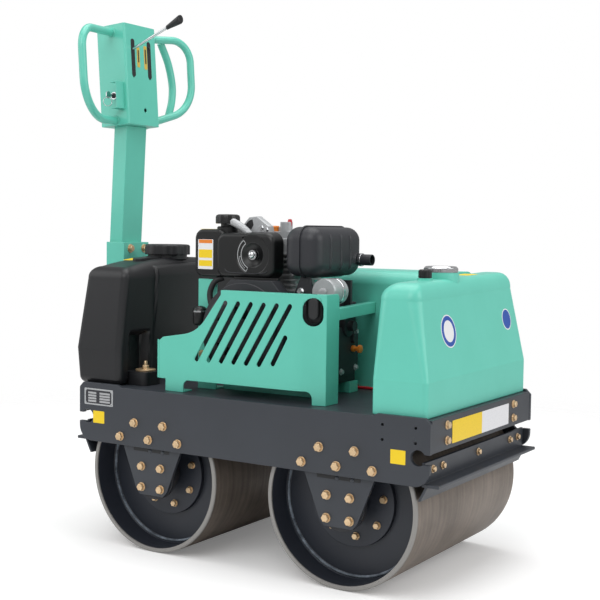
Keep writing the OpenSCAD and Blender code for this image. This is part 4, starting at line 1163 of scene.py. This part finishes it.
@dataclass
class Engine:
    """Moulded covers and small fittings of the open engine."""

    layout: Layout
    cleaner_y: float = -205.0
    dish_y: float = -203.0
    cleaner_nut: tuple[float, float] = (-38, 817)
    label: tuple[float, float, float, float] = (-222, -171, 775, 856)
    label_y: float = -199.0
    outlet: tuple[float, float, float] = (165, 15, 806)
    arm: tuple[tuple[float, float, float], ...] = (
        (-146, -172, 909), (-131, -172, 906), (-112, -171, 898), (-94, -170, 888), (-78, -169, 876),
        (-66, -168, 862))
    cover: tuple[float, float, float, float] = (-158, 29, 755, 875)
    filter_blocks: tuple[tuple, ...] = (
        ((-235, -132, 755, 884), 26, (94.5, 199), 8), ((-120, -10, 765, 865), 20, (94.5, 165), 3),
        ((-100, 42, 748, 757), 4, (192, 202), 1))
    intake_at: tuple[float, float] = (-151, -160)
    ribs: tuple[float, ...] = (-135, -81, -33)
    starter: tuple[float, float, float] = (165, -83, 725.3)
    hose: tuple[tuple[float, float, float], ...] = (
        (-150, -180, 752), (-166, -196, 742), (-176, -204, 716), (-172, -208, 690), (-158, -212, 664))
    label_bands: tuple[tuple[str, float, float, Finish], ...] = (
        ("top", 0.43, 0.12, ORANGE), ("middle", 0.02, 0.28, YELLOW), ("low", -0.3, 0.2, YELLOW))
    top_mark: tuple[float, float] = (-205, -165)
    casting_y: float = -126.0
    casting: tuple[tuple[float, float], ...] = (
        (-108, 868), (-106, 900), (-90, 917), (-64, 920), (-24, 893), (-20, 868))
    # Place and outline of the black sheet that paints the shade in the casting's opening
    opening_shade_y: float = -147.6
    opening_shade: tuple[tuple[float, float], ...] = (
        (-104, 884), (-101, 896), (-90, 908), (-78, 912), (-74, 896), (-84, 882))
    casting_bolts: tuple[tuple[str, float, float, float], ...] = (
        ("casting_bolt_near", -48, -148, 889), ("casting_bolt_far", -32, -148, 884))
    orange_at: tuple[float, float, float] = (-63, -58, 880)
    collar_at: tuple[float, float, float] = (-38, -56, 878)
    red_at: tuple[float, float, float] = (-17, -56, 893)
    bracket_y: float = -168.0
    bracket: tuple[tuple[float, float], ...] = ((62, 690), (140, 690), (122, 770), (98, 770))
    bracket_bolt: tuple[float, float, float] = (96, -174, 725)
    dipstick: tuple[float, float] = (-10, 566)
    case_bolts: tuple[tuple[float, float], ...] = (
        (-146, 514), (-146, 612), (6, 514), (6, 612), (-70, 508))
    bowl_at: tuple[float, float, float] = (-204, -212, 622)
    upright_bolts: tuple[tuple[float, float], ...] = ((-214, 542), (-178, 542))
    ahead: float = 300.0
    beside: float = -400.0
    above: float = 1000.0

    def build(self) -> None:
        """Adds everything to the engine."""
        filter_body = self.add_filter()
        self.add_muffler()
        self.add_starter()
        self.dress_cleaner(filter_body)
        self.dress_top()
        self.dress_sides()
        self.dress_front()

    def side_face(self) -> Spot:
        """Gives the spot from which u is x, v is z and the height is minus y."""
        return self.layout.spot(0, 0, 0, -Y_AXIS)

    def add_filter(self) -> bpy.types.Object:
        """Builds the air filter: a dished cover, the box beside it, the duct behind and the rain cap.

        The cover's outlines end in circles round the dish, c + r (p - c) / |p - c|, stepping down and up.

        Returns:
            The filter.
        """
        face = self.side_face()
        low_x, high_x, low_z, high_z = self.cover
        rows = eased_rows((low_x, high_x, low_z, high_z), 26, (161, 205), 12)
        rows[1:8, :5] = rows[8, :5] + [-2.5, 2.5, -2.5, 2.5, 2.5]
        rows[1:8, 5] = np.linspace(161, 164, 7)
        outline = stack(rows[:-1], 8)
        middle = np.array(self.cleaner_nut)
        ray = outline[:, -1, :2] - middle
        ray /= np.linalg.norm(ray, axis=1, keepdims=True)
        dish = np.array([(54, 205), (53, 204.7), (51.5, 203.4), (50.6, 203), (35, 203), (33.4, 202.6),
                         (31, 201), (27, 197), (20, 194), (13, 193), (12, 193.6), (12, 204), (0, 204)])
        circles = np.concatenate([middle + dish[:, 0, None] * ray[:, None], np.broadcast_to(
            dish[:, 1, None], (len(ray), len(dish), 1))], axis=-1)
        piece = Piece("air_filter", NYLON, sharp_deg=32)
        piece.add(face.points(np.concatenate([outline, circles], axis=1)))
        for box, corner, ends, edge in self.filter_blocks:
            piece.add(face.points(stack(eased_rows(box, corner, ends, edge))))
        x, y = self.intake_at
        column = self.layout.spot(x, y, 0, Z_AXIS, X_AXIS)
        neck = [(0, 845), (29, 845), (29, 889), (26, 892), (19, 892), (19, 900), (0, 900)]
        piece.turn(column, neck)
        steps = 240
        angle = full_turn(steps)
        cap = [(20, 899), (31.5, 899), (33, 901), (33, 917), (31, 922), (25, 924.4), (0, 925)]
        piece.turn(column, cap, steps, 1 + 0.008 * np.cos(20 * angle))
        return piece.build("air_cleaner")

    def add_muffler(self) -> None:
        """Builds the muffler: a block rounded all over, its seam flange, ribs, neck and open outlet."""
        piece = Piece("muffler_shell", SHEET, sharp_deg=32)
        rows = eased_rows((54, 163, 763, 893), 36, (-40, 205), 36, 12)
        piece.add(self.side_face().points(stack(rows, arc=12)))
        ahead = self.layout.spot(0, 0, 0, X_AXIS)
        piece.add(ahead.points(stack(eased_rows((-209, 44, 759, 897), 39, (107, 111), 1.2), arc=12)))
        middle = np.array([self.layout.mid_x, 0, 0])
        for y in self.ribs:
            rib = smooth_path([(153, y, 784), (157.5, y, 794), (157.5, y, 828), (157.5, y, 862),
                               (153, y, 872)])
            piece.add(tube(middle + rib * MM, 8 * MM, Y_AXIS, 20))
        x, y, z = self.outlet
        pipe = [(0, 0), (15, 0), (15, 75.4), (14.6, 76), (12.9, 76), (12.5, 75.4), (12.5, 36), (0, 36)]
        piece.turn(self.layout.spot(x - 38, y, z, X_AXIS), pipe)
        neck = [(0, 0.3), (25, 0.3), (25, 5), (20, 6), (20, 60), (0, 60)]
        piece.turn(self.layout.spot(28, -20, 828, X_AXIS), neck)
        piece.build("muffler")

    def add_starter(self) -> None:
        """Turns the starter's body with its nose, step and end."""
        x, y, z = self.starter
        spot = self.layout.spot(x, y, z, -Y_AXIS)
        body = [(0, 0), (22, 0), (22, 19), (24, 22), (33.6, 22), (35, 23.4), (35, 58), (34.2, 58.6),
                (34.2, 60.4), (35, 61), (35, 80)]
        end = [(35, 80), (35.6, 80.6), (35.6, 89), (33, 92.4), (12, 93.4), (11, 96.6), (9, 97.6), (0, 98)]
        starter = Piece("starter_body", ALUMINIUM).turn(spot, body + [(0, 80)], 56)
        starter.build("starter_motor")
        add_turned("starter_end_cap", spot, end, ALUMINIUM, turns=56)
        add_turned("starter_band", spot, [(35, 40), (36, 40.6), (36, 46), (35, 46.6)], CHROME, turns=56)

    def dress_cleaner(self, filter_body: bpy.types.Object) -> None:
        """Adds the cover's nut, its printed arc, a painted highlight line along its lower edge and the blank
        labels.
        """
        x, z = self.cleaner_nut
        face = self.layout.spot(x, self.cleaner_y, z, -Y_AXIS)
        nut = [(13, -1), (13, 0.6), (9.5, 0.8), (9.5, 5), (7.5, 8), (3, 9.6), (0, 9.8)]
        add_turned("cleaner_nut", face, nut, CHROME)
        dish = self.layout.spot(x, self.dish_y, z, -Y_AXIS)
        arc = Piece("cleaner_printed_arc", GREY_PRINT)
        for inner, outer in ((36, 38.4), (47.4, 49.8)):
            arc.add(dish.points(ring_sector(inner, outer, 127, 246, 0.5)), around=False)
        for inner, outer, start in ((37, 49, 126), (37, 49, 244), (37, 44, 186)):
            arc.add(dish.points(ring_sector(inner, outer, start, start + 2.4, 0.5)), around=False)
        arc.add(dish.points(ring_sector(42.6, 43.8, 188, 236, 0.5)), around=False)
        arc.build()
        # A thin bar, lighter than the black cover, along its lower edge: a painted highlight of that edge.
        raised_points = smooth_path([(-128, -205, 778), (-116, -205, 770), (-90, -205, 768), (-30, -205, 768),
                            (0, -205, 770), (10, -205, 776)])
        self.add_tube("cleaner_painted_highlight_line", raised_points, 1.4, SHEET, Y_AXIS)
        left, right, low, high = self.label
        middle = self.layout.spot((left + right) / 2, self.label_y, (low + high) / 2, -Y_AXIS)
        add_plate("cleaner_label", middle, (right - left, high - low), 3, WHITE, thick=0.5)
        for name, offset, share, finish in self.label_bands:
            level = (low + high) / 2 + offset * (high - low)
            band = self.layout.spot((left + right) / 2, self.label_y, level, -Y_AXIS)
            size = (right - left - 6, share * (high - low))
            add_plate(f"cleaner_label_{name}", band, size, 1.5, finish, thick=0.8)
        top = self.layout.landing(filter_body, (*self.top_mark, self.above), -Z_AXIS, X_AXIS)
        add_plate("cleaner_top_mark", top, (44, 40), 2, YELLOW, thick=0.5)

    def add_tube(self, name: str, path: np.ndarray, radius: float, finish: Finish, across: np.ndarray,
                 taper: float = 1.0) -> None:
        """Builds a round bar along a path given in millimetres."""
        place = np.array([self.layout.mid_x, 0, 0]) + path * MM
        Piece(name, finish).add(tube(place, radius * MM, across, taper=taper)).build()

    def dress_top(self) -> None:
        """Adds the lever, the casting, the caps and the hose over the cylinder head."""
        self.add_tube("decompression_arm", smooth_path(list(self.arm)), 11, ALUMINIUM, Y_AXIS, taper=0.9)
        casting = self.layout.spot(0, self.casting_y, 0, -Y_AXIS)
        Piece("lifting_casting", ALUMINIUM).add(casting.points(prism(self.casting, 22, 2.5))).build()
        # The black sheet on the casting's face, shaped like its opening, is painted shade in that opening.
        opening_shade = self.layout.spot(0, self.opening_shade_y, 0, -Y_AXIS)
        Piece("casting_opening_painted_shade", RUBBER).add(opening_shade.points(prism(self.opening_shade, 0.8, 0.3))).build()
        for name, x, y, z in self.casting_bolts:
            add_bolts(name, [self.layout.spot(x, y, z, -Y_AXIS)],
                      Bolt(across=9, head=5, washer=7, washer_t=1), finish=CHROME)
        orange = self.layout.spot(*self.orange_at, Z_AXIS, X_AXIS)
        add_turned("orange_cap", orange, [(11.5, 0), (11.5, 12), (9, 15), (0, 15.5)], ORANGE)
        collar = self.layout.spot(*self.collar_at, Z_AXIS, X_AXIS)
        add_turned("silver_collar", collar, [(12, 0), (13, 2), (13, 13), (11, 15), (0, 15)], ALUMINIUM)
        red = self.layout.spot(*self.red_at, Z_AXIS, X_AXIS)
        add_turned("red_knob", red, [(4, -6), (6, 0), (6.5, 14), (5, 20), (0, 21)], RED, turns=24)
        self.add_tube("breather_hose", smooth_path(list(self.hose)), 8, RUBBER, X_AXIS)

    def dress_sides(self) -> None:
        """Adds the muffler's clamp and bracket, the dipstick and the case bolts."""
        x, y, z = self.outlet
        clamp = self.layout.spot(x, y, z, X_AXIS)
        band = [(15.2, 0), (17.5, 0), (17.8, 1), (17.8, 7), (17.5, 8), (15.2, 8)]
        add_turned("outlet_clamp", clamp, band, CHROME)
        bracket = self.layout.spot(0, self.bracket_y, 0, -Y_AXIS)
        Piece("muffler_bracket", SHEET).add(bracket.points(prism(self.bracket, 6))).build()
        add_bolts("bracket_bolt", [self.layout.spot(*self.bracket_bolt, -Y_AXIS)],
                  Bolt(across=14, head=7, washer=10), finish=CHROME)
        case = frame["nodes"]["crankcase"]
        stick = self.layout.landing(case, (self.ahead, *self.dipstick), -X_AXIS)
        pull = [(9, 0), (9, 6), (6, 8), (6, 18), (11, 20), (11, 26), (8, 28), (0, 28)]
        add_turned("dipstick", stick, pull, ORANGE, turns=32)
        spots = [self.layout.landing(case, (self.ahead, y, z), -X_AXIS) for y, z in self.case_bolts]
        add_bolts("case_bolts", spots, Bolt(across=11, head=6, washer=9, washer_t=1.2), finish=ALUMINIUM)

    def dress_front(self) -> None:
        """Adds the fuel filter and the bolts in front of the guard's upright."""
        bowl = self.layout.spot(*self.bowl_at, Z_AXIS, X_AXIS)
        shell = [(0, 0), (12, 0), (18, 4), (20, 11), (20, 40), (18, 46), (12, 51), (6, 53), (0, 53.4)]
        add_turned("fuel_filter_bowl", bowl, shell, NYLON)
        add_turned("fuel_filter_ring", bowl, [(20, 36), (21.2, 36.6), (21.2, 40.4), (20, 41)], CHROME)
        upright = frame["nodes"]["guard_upright"]
        spots = [self.layout.landing(upright, (x, self.beside, z), Y_AXIS) for x, z in self.upright_bolts]
        add_bolts("upright_bolts", spots, Bolt(across=13, head=6, washer=10), finish=ZINC)


@dataclass
class Handle:
    """Grips, lever, key guard, strips, key, welds and bolts of the handle."""

    layout: Layout
    console_x: float = -635.98
    console_z: float = 1190.14
    lean_deg: float = 4.0
    face_x: float = 55.0
    half_width: float = 71.5
    strips: tuple[tuple[float, float, float, float], ...] = ((-13, 173, 234, 13), (20, 170, 241, 14))
    switch: tuple[float, float] = (16, 85)
    switch_l: float = 17.0
    guard: tuple[float, float, float, float, float, float] = (18, 42, 45, 125, 34, 3)
    slot: tuple[float, float, float, float] = (37, 143, 256, 17)
    lever: tuple[float, float, float, float] = (37, 207, 18, 28)
    rod: tuple[float, float, float] = (202, 54, 66)
    rod_r: float = 4.2
    grip_rise: dict[Side, tuple[float, float]] = field(
        default_factory=lambda: {Side.RIGHT: (-4, -4), Side.LEFT: (4, 17)})
    bends: tuple[float, float] = (65, 110)
    reach: float = 184.0
    splay_deg: float = 14.0
    brace: tuple[tuple[float, float], ...] = ((157, 276), (190, 215), (205, 150), (199, 98), (180, 52))
    tube_ends: tuple[float, float] = (277, 14)
    tube_r: float = 11.6
    tube_x: float = 4.0
    mount_x: float = -611.0
    mount_bolts: tuple[tuple[float, float], ...] = ((-28, 822), (35, 822))

    def build(self) -> None:
        """Adds everything to the handle and its mount."""
        for side in Side:
            self.add_grip(side)
        self.add_lever()
        self.add_guard()
        self.add_slots()
        self.add_strips()
        self.add_key()
        self.add_welds()
        spots = [self.layout.spot(self.mount_x, y, z, X_AXIS) for y, z in self.mount_bolts]
        add_bolts("mount_bolts", spots, Bolt(across=17, head=8, washer=13))

    def axes(self) -> np.ndarray:
        """Gives the leaning console's axes as rows: ahead, left and up, turned back about Y by the lean."""
        lean = math.radians(self.lean_deg)
        c, s = math.cos(lean), math.sin(lean)
        return np.array([[c, 0, s], [0, 1, 0], [-s, 0, c]])

    def on_console(self, x: float, y: float, z: float, out: np.ndarray) -> Spot:
        """Gives a spot on the leaning console, from its own millimetres and its own outward direction."""
        axes = self.axes()
        place = np.array([self.console_x, 0, self.console_z]) + np.array([x, y, z]) @ axes
        return self.layout.spot(*place, np.asarray(out) @ axes, axes[2])

    def add_guard(self) -> None:
        """Folds the switch guard from sheet: a front wall and two flanges, each a plate with eased edges."""
        low_x, high_x, low_z, high_z, deep, sheet = self.guard
        piece = Piece("switch_guard_sheet", GREEN, "handle")
        face = self.on_console(0, 0, 0, X_AXIS)
        inner, outer = -self.half_width + 1, -self.half_width - deep
        wall = eased_rows((outer, inner, low_z, high_z), 3, (high_x - sheet, high_x), 1)
        piece.add(face.points(stack(wall)))
        for z in (low_z, high_z - sheet):
            flange = eased_rows((outer + 2, inner, z, z + sheet), 1, (low_x, high_x - 1), 0.8)
            piece.add(face.points(stack(flange)))
        piece.build("switch_guard")

    def add_slots(self) -> None:
        """Lines both lever slots with black rubber."""
        y, low, high, width = self.slot
        for side in Side:
            spot = self.on_console(self.face_x, side.value * y, (low + high) / 2, X_AXIS)
            name = f"{side.label}_slot_liner"
            add_plate(name, spot, (width, high - low), width / 2 - 0.5, RUBBER, "handle", 0.6)

    def add_strips(self) -> None:
        """Puts two blank strips between the lever slots, each gilt with a dark middle."""
        for number, (y, low, high, width) in enumerate(self.strips, 1):
            spot = self.on_console(self.face_x, y, (low + high) / 2, X_AXIS)
            add_plate(f"console_strip_{number}", spot, (width, high - low), 3, GOLD, "handle", 0.5)
            inner = self.on_console(self.face_x, y, 0.45 * low + 0.55 * high, X_AXIS)
            size = (width - 7, 0.62 * (high - low))
            add_plate(f"console_strip_{number}_field", inner, size, 2, BROWN, "handle", 0.7)

    def add_key(self) -> None:
        """Puts a key in the switch and hangs a ring on it."""
        x, z = self.switch
        face = self.on_console(x, -self.half_width - self.switch_l, z, -Y_AXIS)
        add_turned("key_barrel", face, [(8, -0.2), (8, 2), (6.5, 3), (0, 3)], IRON, "handle", turns=32)
        key = Piece("ignition_key", CHROME, "handle")
        key.add(face.points(rounded_plate(2.4, 7, 1, 16)))
        bow = self.on_console(x - 1.2, -self.half_width - self.switch_l - 24, z, X_AXIS)
        key.add(bow.points(rounded_plate(17, 21, 7, 2.4)))
        key.build()
        turn = np.linspace(0, 2 * np.pi, 49)
        ring = np.stack([np.sin(0.6) * 13 * np.sin(turn), 13 * np.sin(turn) * np.cos(0.6),
                         13 * np.cos(turn)], axis=-1)
        hang = self.on_console(x, -self.half_width - self.switch_l - 28, z - 20, X_AXIS)
        Piece("key_ring", CHROME, "handle").add(hang.at + tube(ring * MM, 1.1 * MM, X_AXIS, 10)).build()

    def place(self, local: np.ndarray) -> np.ndarray:
        """Maps the console's own millimetres to row-frame metres."""
        return np.array([self.layout.mid_x, 0, 0]) + (
            np.array([self.console_x, 0, self.console_z]) + local @ self.axes()) * MM

    def add_grip(self, side: Side) -> None:
        """Bends one grip loop from a tube: a rising top, a bend, an upright, a wider bend and a foot.

        Each bend is c + r (cos a, sin a) in the loop's plane, which is splayed forward by its own angle.

        Args:
            side: the side that the loop is on.
        """
        rise, foot = np.radians(self.grip_rise[side])
        top_r, foot_r, reach = self.bends[0], self.bends[1], self.reach
        top_y, foot_y = reach - top_r, reach - foot_r
        top_end, foot_end = top_y - top_r * math.sin(rise), foot_y + foot_r * math.sin(foot)
        top_z = self.tube_ends[0] + top_end * math.tan(rise) - top_r * math.cos(rise)
        foot_z = self.tube_ends[1] + foot_end * math.tan(foot) + foot_r * math.cos(foot)
        a = np.linspace(np.pi / 2 + rise, 0, 20)
        b = np.linspace(0, foot - np.pi / 2, 24)
        start = np.array([[-4, self.tube_ends[0] - 4 * math.tan(rise)],
                          [40, self.tube_ends[0] + 40 * math.tan(rise)]])
        end = np.array([[40, self.tube_ends[1] + 40 * math.tan(foot)],
                        [-4, self.tube_ends[1] - 4 * math.tan(foot)]])
        top = np.stack([top_y + top_r * np.cos(a), top_z + top_r * np.sin(a)], axis=-1)
        low = np.stack([foot_y + foot_r * np.cos(b), foot_z + foot_r * np.sin(b)], axis=-1)
        out, z = np.concatenate([start, top, low, end]).T
        splay = math.radians(self.splay_deg)
        path = np.stack([self.tube_x + out * math.sin(splay),
                         side.value * (self.half_width + out * math.cos(splay)), z], axis=-1)
        across = np.array([math.cos(splay), -side.value * math.sin(splay), 0]) @ self.axes()
        piece = Piece(f"{side.label}_grip_loop", GREEN, "handle")
        piece.add(tube(self.place(path), self.tube_r * MM, across, 28))
        if side is Side.LEFT:
            bow = smooth_path([(6, y, z) for y, z in self.brace])
            piece.add(tube(self.place(bow), self.tube_r * MM, X_AXIS, 28))
        piece.build(f"{side.label}_grip")

    def add_lever(self) -> None:
        """Builds the travel lever: a shaft, a bright rod with a tapered knob, and the other slot's stub."""
        y, z, rise, stub_rise = self.lever
        ways = [np.array([math.cos(t), 0, math.sin(t)]) for t in np.radians([rise, stub_rise])]
        length, knob_l, stub_l = self.rod
        knob = Piece("travel_lever_knob", PLASTIC, "handle")
        tip = np.array([0, -y, z]) + (length - 4) * ways[0]
        spot = self.on_console(*tip, ways[0])
        grip = [(0, 0), (5, 0), (6.5, 1), (8, 14), (12.4, knob_l - 8), (13, knob_l - 2), (12, knob_l + 1.4),
                (9.5, knob_l + 2.4), (8.5, knob_l + 1.8), (0, knob_l + 2)]
        knob.turn(spot, grip, 40)
        shaft = np.linspace([0, 3 - self.half_width, z], [0, self.half_width - 3, z], 4)
        knob.add(tube(self.place(shaft), 8 * MM, X_AXIS, 24))
        stub = np.linspace([0, y, z], np.array([0, y, z]) + stub_l * ways[1], 6)
        knob.add(tube(self.place(stub), self.rod_r * MM, Y_AXIS, 20))
        knob.build("travel_lever")
        rod = np.linspace([0, -y, z], tip + 4 * ways[0], 8)
        bar = tube(self.place(rod), self.rod_r * MM, Y_AXIS, 24)
        Piece("travel_lever_rod", CHROME, "handle").add(bar).build()

    def add_welds(self) -> None:
        """Runs a weld bead round each grip tube where it meets the console."""
        turn = np.linspace(0, 2 * np.pi, 9)
        profile = [(self.tube_r + 0.8 + 2.6 * math.cos(t), 0.6 + 2.2 * math.sin(t)) for t in turn]
        angle = full_turn(120)
        piece = Piece("grip_welds", GREEN, "handle")
        for side in Side:
            for z in self.tube_ends:
                spot = self.on_console(self.tube_x, side.value * self.half_width, z, side.value * Y_AXIS)
                piece.turn(spot, profile, 120, 1 + 0.012 * np.sin(20 * angle))
        piece.build()


@dataclass
class Studio:
    """Camera, lamps, floor and background."""

    layout: Layout
    camera_at: tuple[float, float, float] = (1.7076, -2.7200, 0.8871)
    yaw_deg: float = 32.373
    pitch_deg: float = 3.512
    roll_deg: float = 0.715
    lens_mm: float = 69.396
    sensor_mm: float = 36.0
    floor_half: float = 9.0
    fade: tuple[float, float] = (1.6, 3.4)

    def build(self) -> None:
        """Makes everything around the machine."""
        self.add_camera()
        self.add_lamps()
        self.add_floor()
        self.add_world()

    def add_camera(self) -> None:
        """Points the camera by yaw, downward pitch and roll, as in the photograph."""
        yaw, pitch, roll = np.radians([self.yaw_deg, self.pitch_deg, self.roll_deg])
        ahead = np.array([-math.sin(yaw) * math.cos(pitch), math.cos(yaw) * math.cos(pitch),
                          -math.sin(pitch)])
        level = np.array([math.cos(yaw), math.sin(yaw), 0.0])
        above = np.cross(level, ahead)
        right = math.cos(roll) * level + math.sin(roll) * above
        up = math.cos(roll) * above - math.sin(roll) * level
        data = bpy.data.cameras.new("photo_camera")
        data.sensor_width = self.sensor_mm
        data.lens = self.lens_mm
        camera = bpy.data.objects.new("photo_camera", data)
        bpy.context.scene.collection.objects.link(camera)
        matrix = np.eye(4)
        matrix[:3, 0], matrix[:3, 1], matrix[:3, 2] = right, up, -ahead
        matrix[:3, 3] = np.array(self.camera_at) + [self.layout.mid_x, 0, 0]
        camera.matrix_world = Matrix(matrix.tolist())
        bpy.context.scene.camera = camera

    def add_lamps(self) -> None:
        """Hangs large soft lamps over, before and beside the machine."""
        lamps = [("key_lamp", (0.6, -3.4, 3.4), 3.0, 74.0), ("fill_lamp", (-3.4, -2.0, 2.4), 3.0, 40.0),
                 ("top_lamp", (0.0, 0.4, 4.4), 3.6, 100.0), ("end_lamp", (3.8, 0.6, 2.2), 2.6, 52.0)]
        for name, place, size, power in lamps:
            data = bpy.data.lights.new(name, "AREA")
            data.size = size
            data.energy = power
            lamp = bpy.data.objects.new(name, data)
            lamp.location = place
            lamp.rotation_mode = "QUATERNION"
            lamp.rotation_quaternion = (Vector((0, 0, 0.6)) - Vector(place)).to_track_quat("-Z", "Y")
            bpy.context.scene.collection.objects.link(lamp)

    def add_floor(self) -> None:
        """Lays a pale floor that fades into the white background away from the machine."""
        half = self.floor_half
        mesh = bpy.data.meshes.new("studio_floor")
        corners = [(-half, -half, 0), (half, -half, 0), (half, half, 0), (-half, half, 0)]
        mesh.from_pydata(corners, [], [(0, 1, 2, 3)])
        floor = bpy.data.objects.new("studio_floor", mesh)
        bpy.context.scene.collection.objects.link(floor)
        made = bpy.data.materials.new("pale_studio_floor")
        made.use_nodes = True
        tree = made.node_tree
        tree.nodes.clear()
        place = add_node(tree, "TexCoord").outputs["Object"]
        away = add_node(tree, "VectorMath", {0: place}, operation="LENGTH")
        share = add_node(tree, "MapRange", {
            "Value": away.outputs["Value"], "From Min": self.fade[0], "From Max": self.fade[1]},
            interpolation_type="SMOOTHSTEP")
        matt = add_node(tree, "BsdfDiffuse", {"Color": (0.94, 0.94, 0.94, 1)})
        seen = add_node(tree, "LightPath")
        lift = add_node(tree, "MapRange", {"Value": seen.outputs["Is Camera Ray"], "To Max": 0.16})
        glow = add_node(tree, "Emission", {"Strength": lift.outputs["Result"]})
        lit = add_node(tree, "AddShader", {0: matt.outputs[0], 1: glow.outputs[0]})
        clear = add_node(tree, "BsdfTransparent")
        mix = add_node(tree, "MixShader", {
            0: share.outputs["Result"], 1: lit.outputs[0], 2: clear.outputs[0]})
        add_node(tree, "OutputMaterial", {"Surface": mix.outputs[0]})
        mesh.materials.append(made)

    def add_world(self) -> None:
        """Surrounds the scene with plain white, at a lower level where it lights the machine."""
        world = bpy.data.worlds.new("studio_world")
        world.use_nodes = True
        tree = world.node_tree
        tree.nodes.clear()
        seen = add_node(tree, "LightPath")
        strength = add_node(tree, "MapRange", {
            "Value": seen.outputs["Is Camera Ray"], "To Min": 0.42, "To Max": 1.0})
        background = add_node(tree, "Background", {
            "Color": (1, 1, 1, 1), "Strength": strength.outputs["Result"]})
        add_node(tree, "OutputWorld", {"Surface": background.outputs[0]})
        bpy.context.scene.world = world


def main() -> None:
    """Dresses the machine, adds its small parts and builds the studio."""
    logging.basicConfig(level=logging.INFO)
    bpy.context.scene.view_settings.view_transform = "Standard"
    layout = Layout.from_frame()
    NodeLooks(layout).dress()
    for group in (Drums, Frame, Tanks, Engine, Handle):
        group(layout).build()
    Studio(layout).build()


if __name__ == "__main__":
    main()
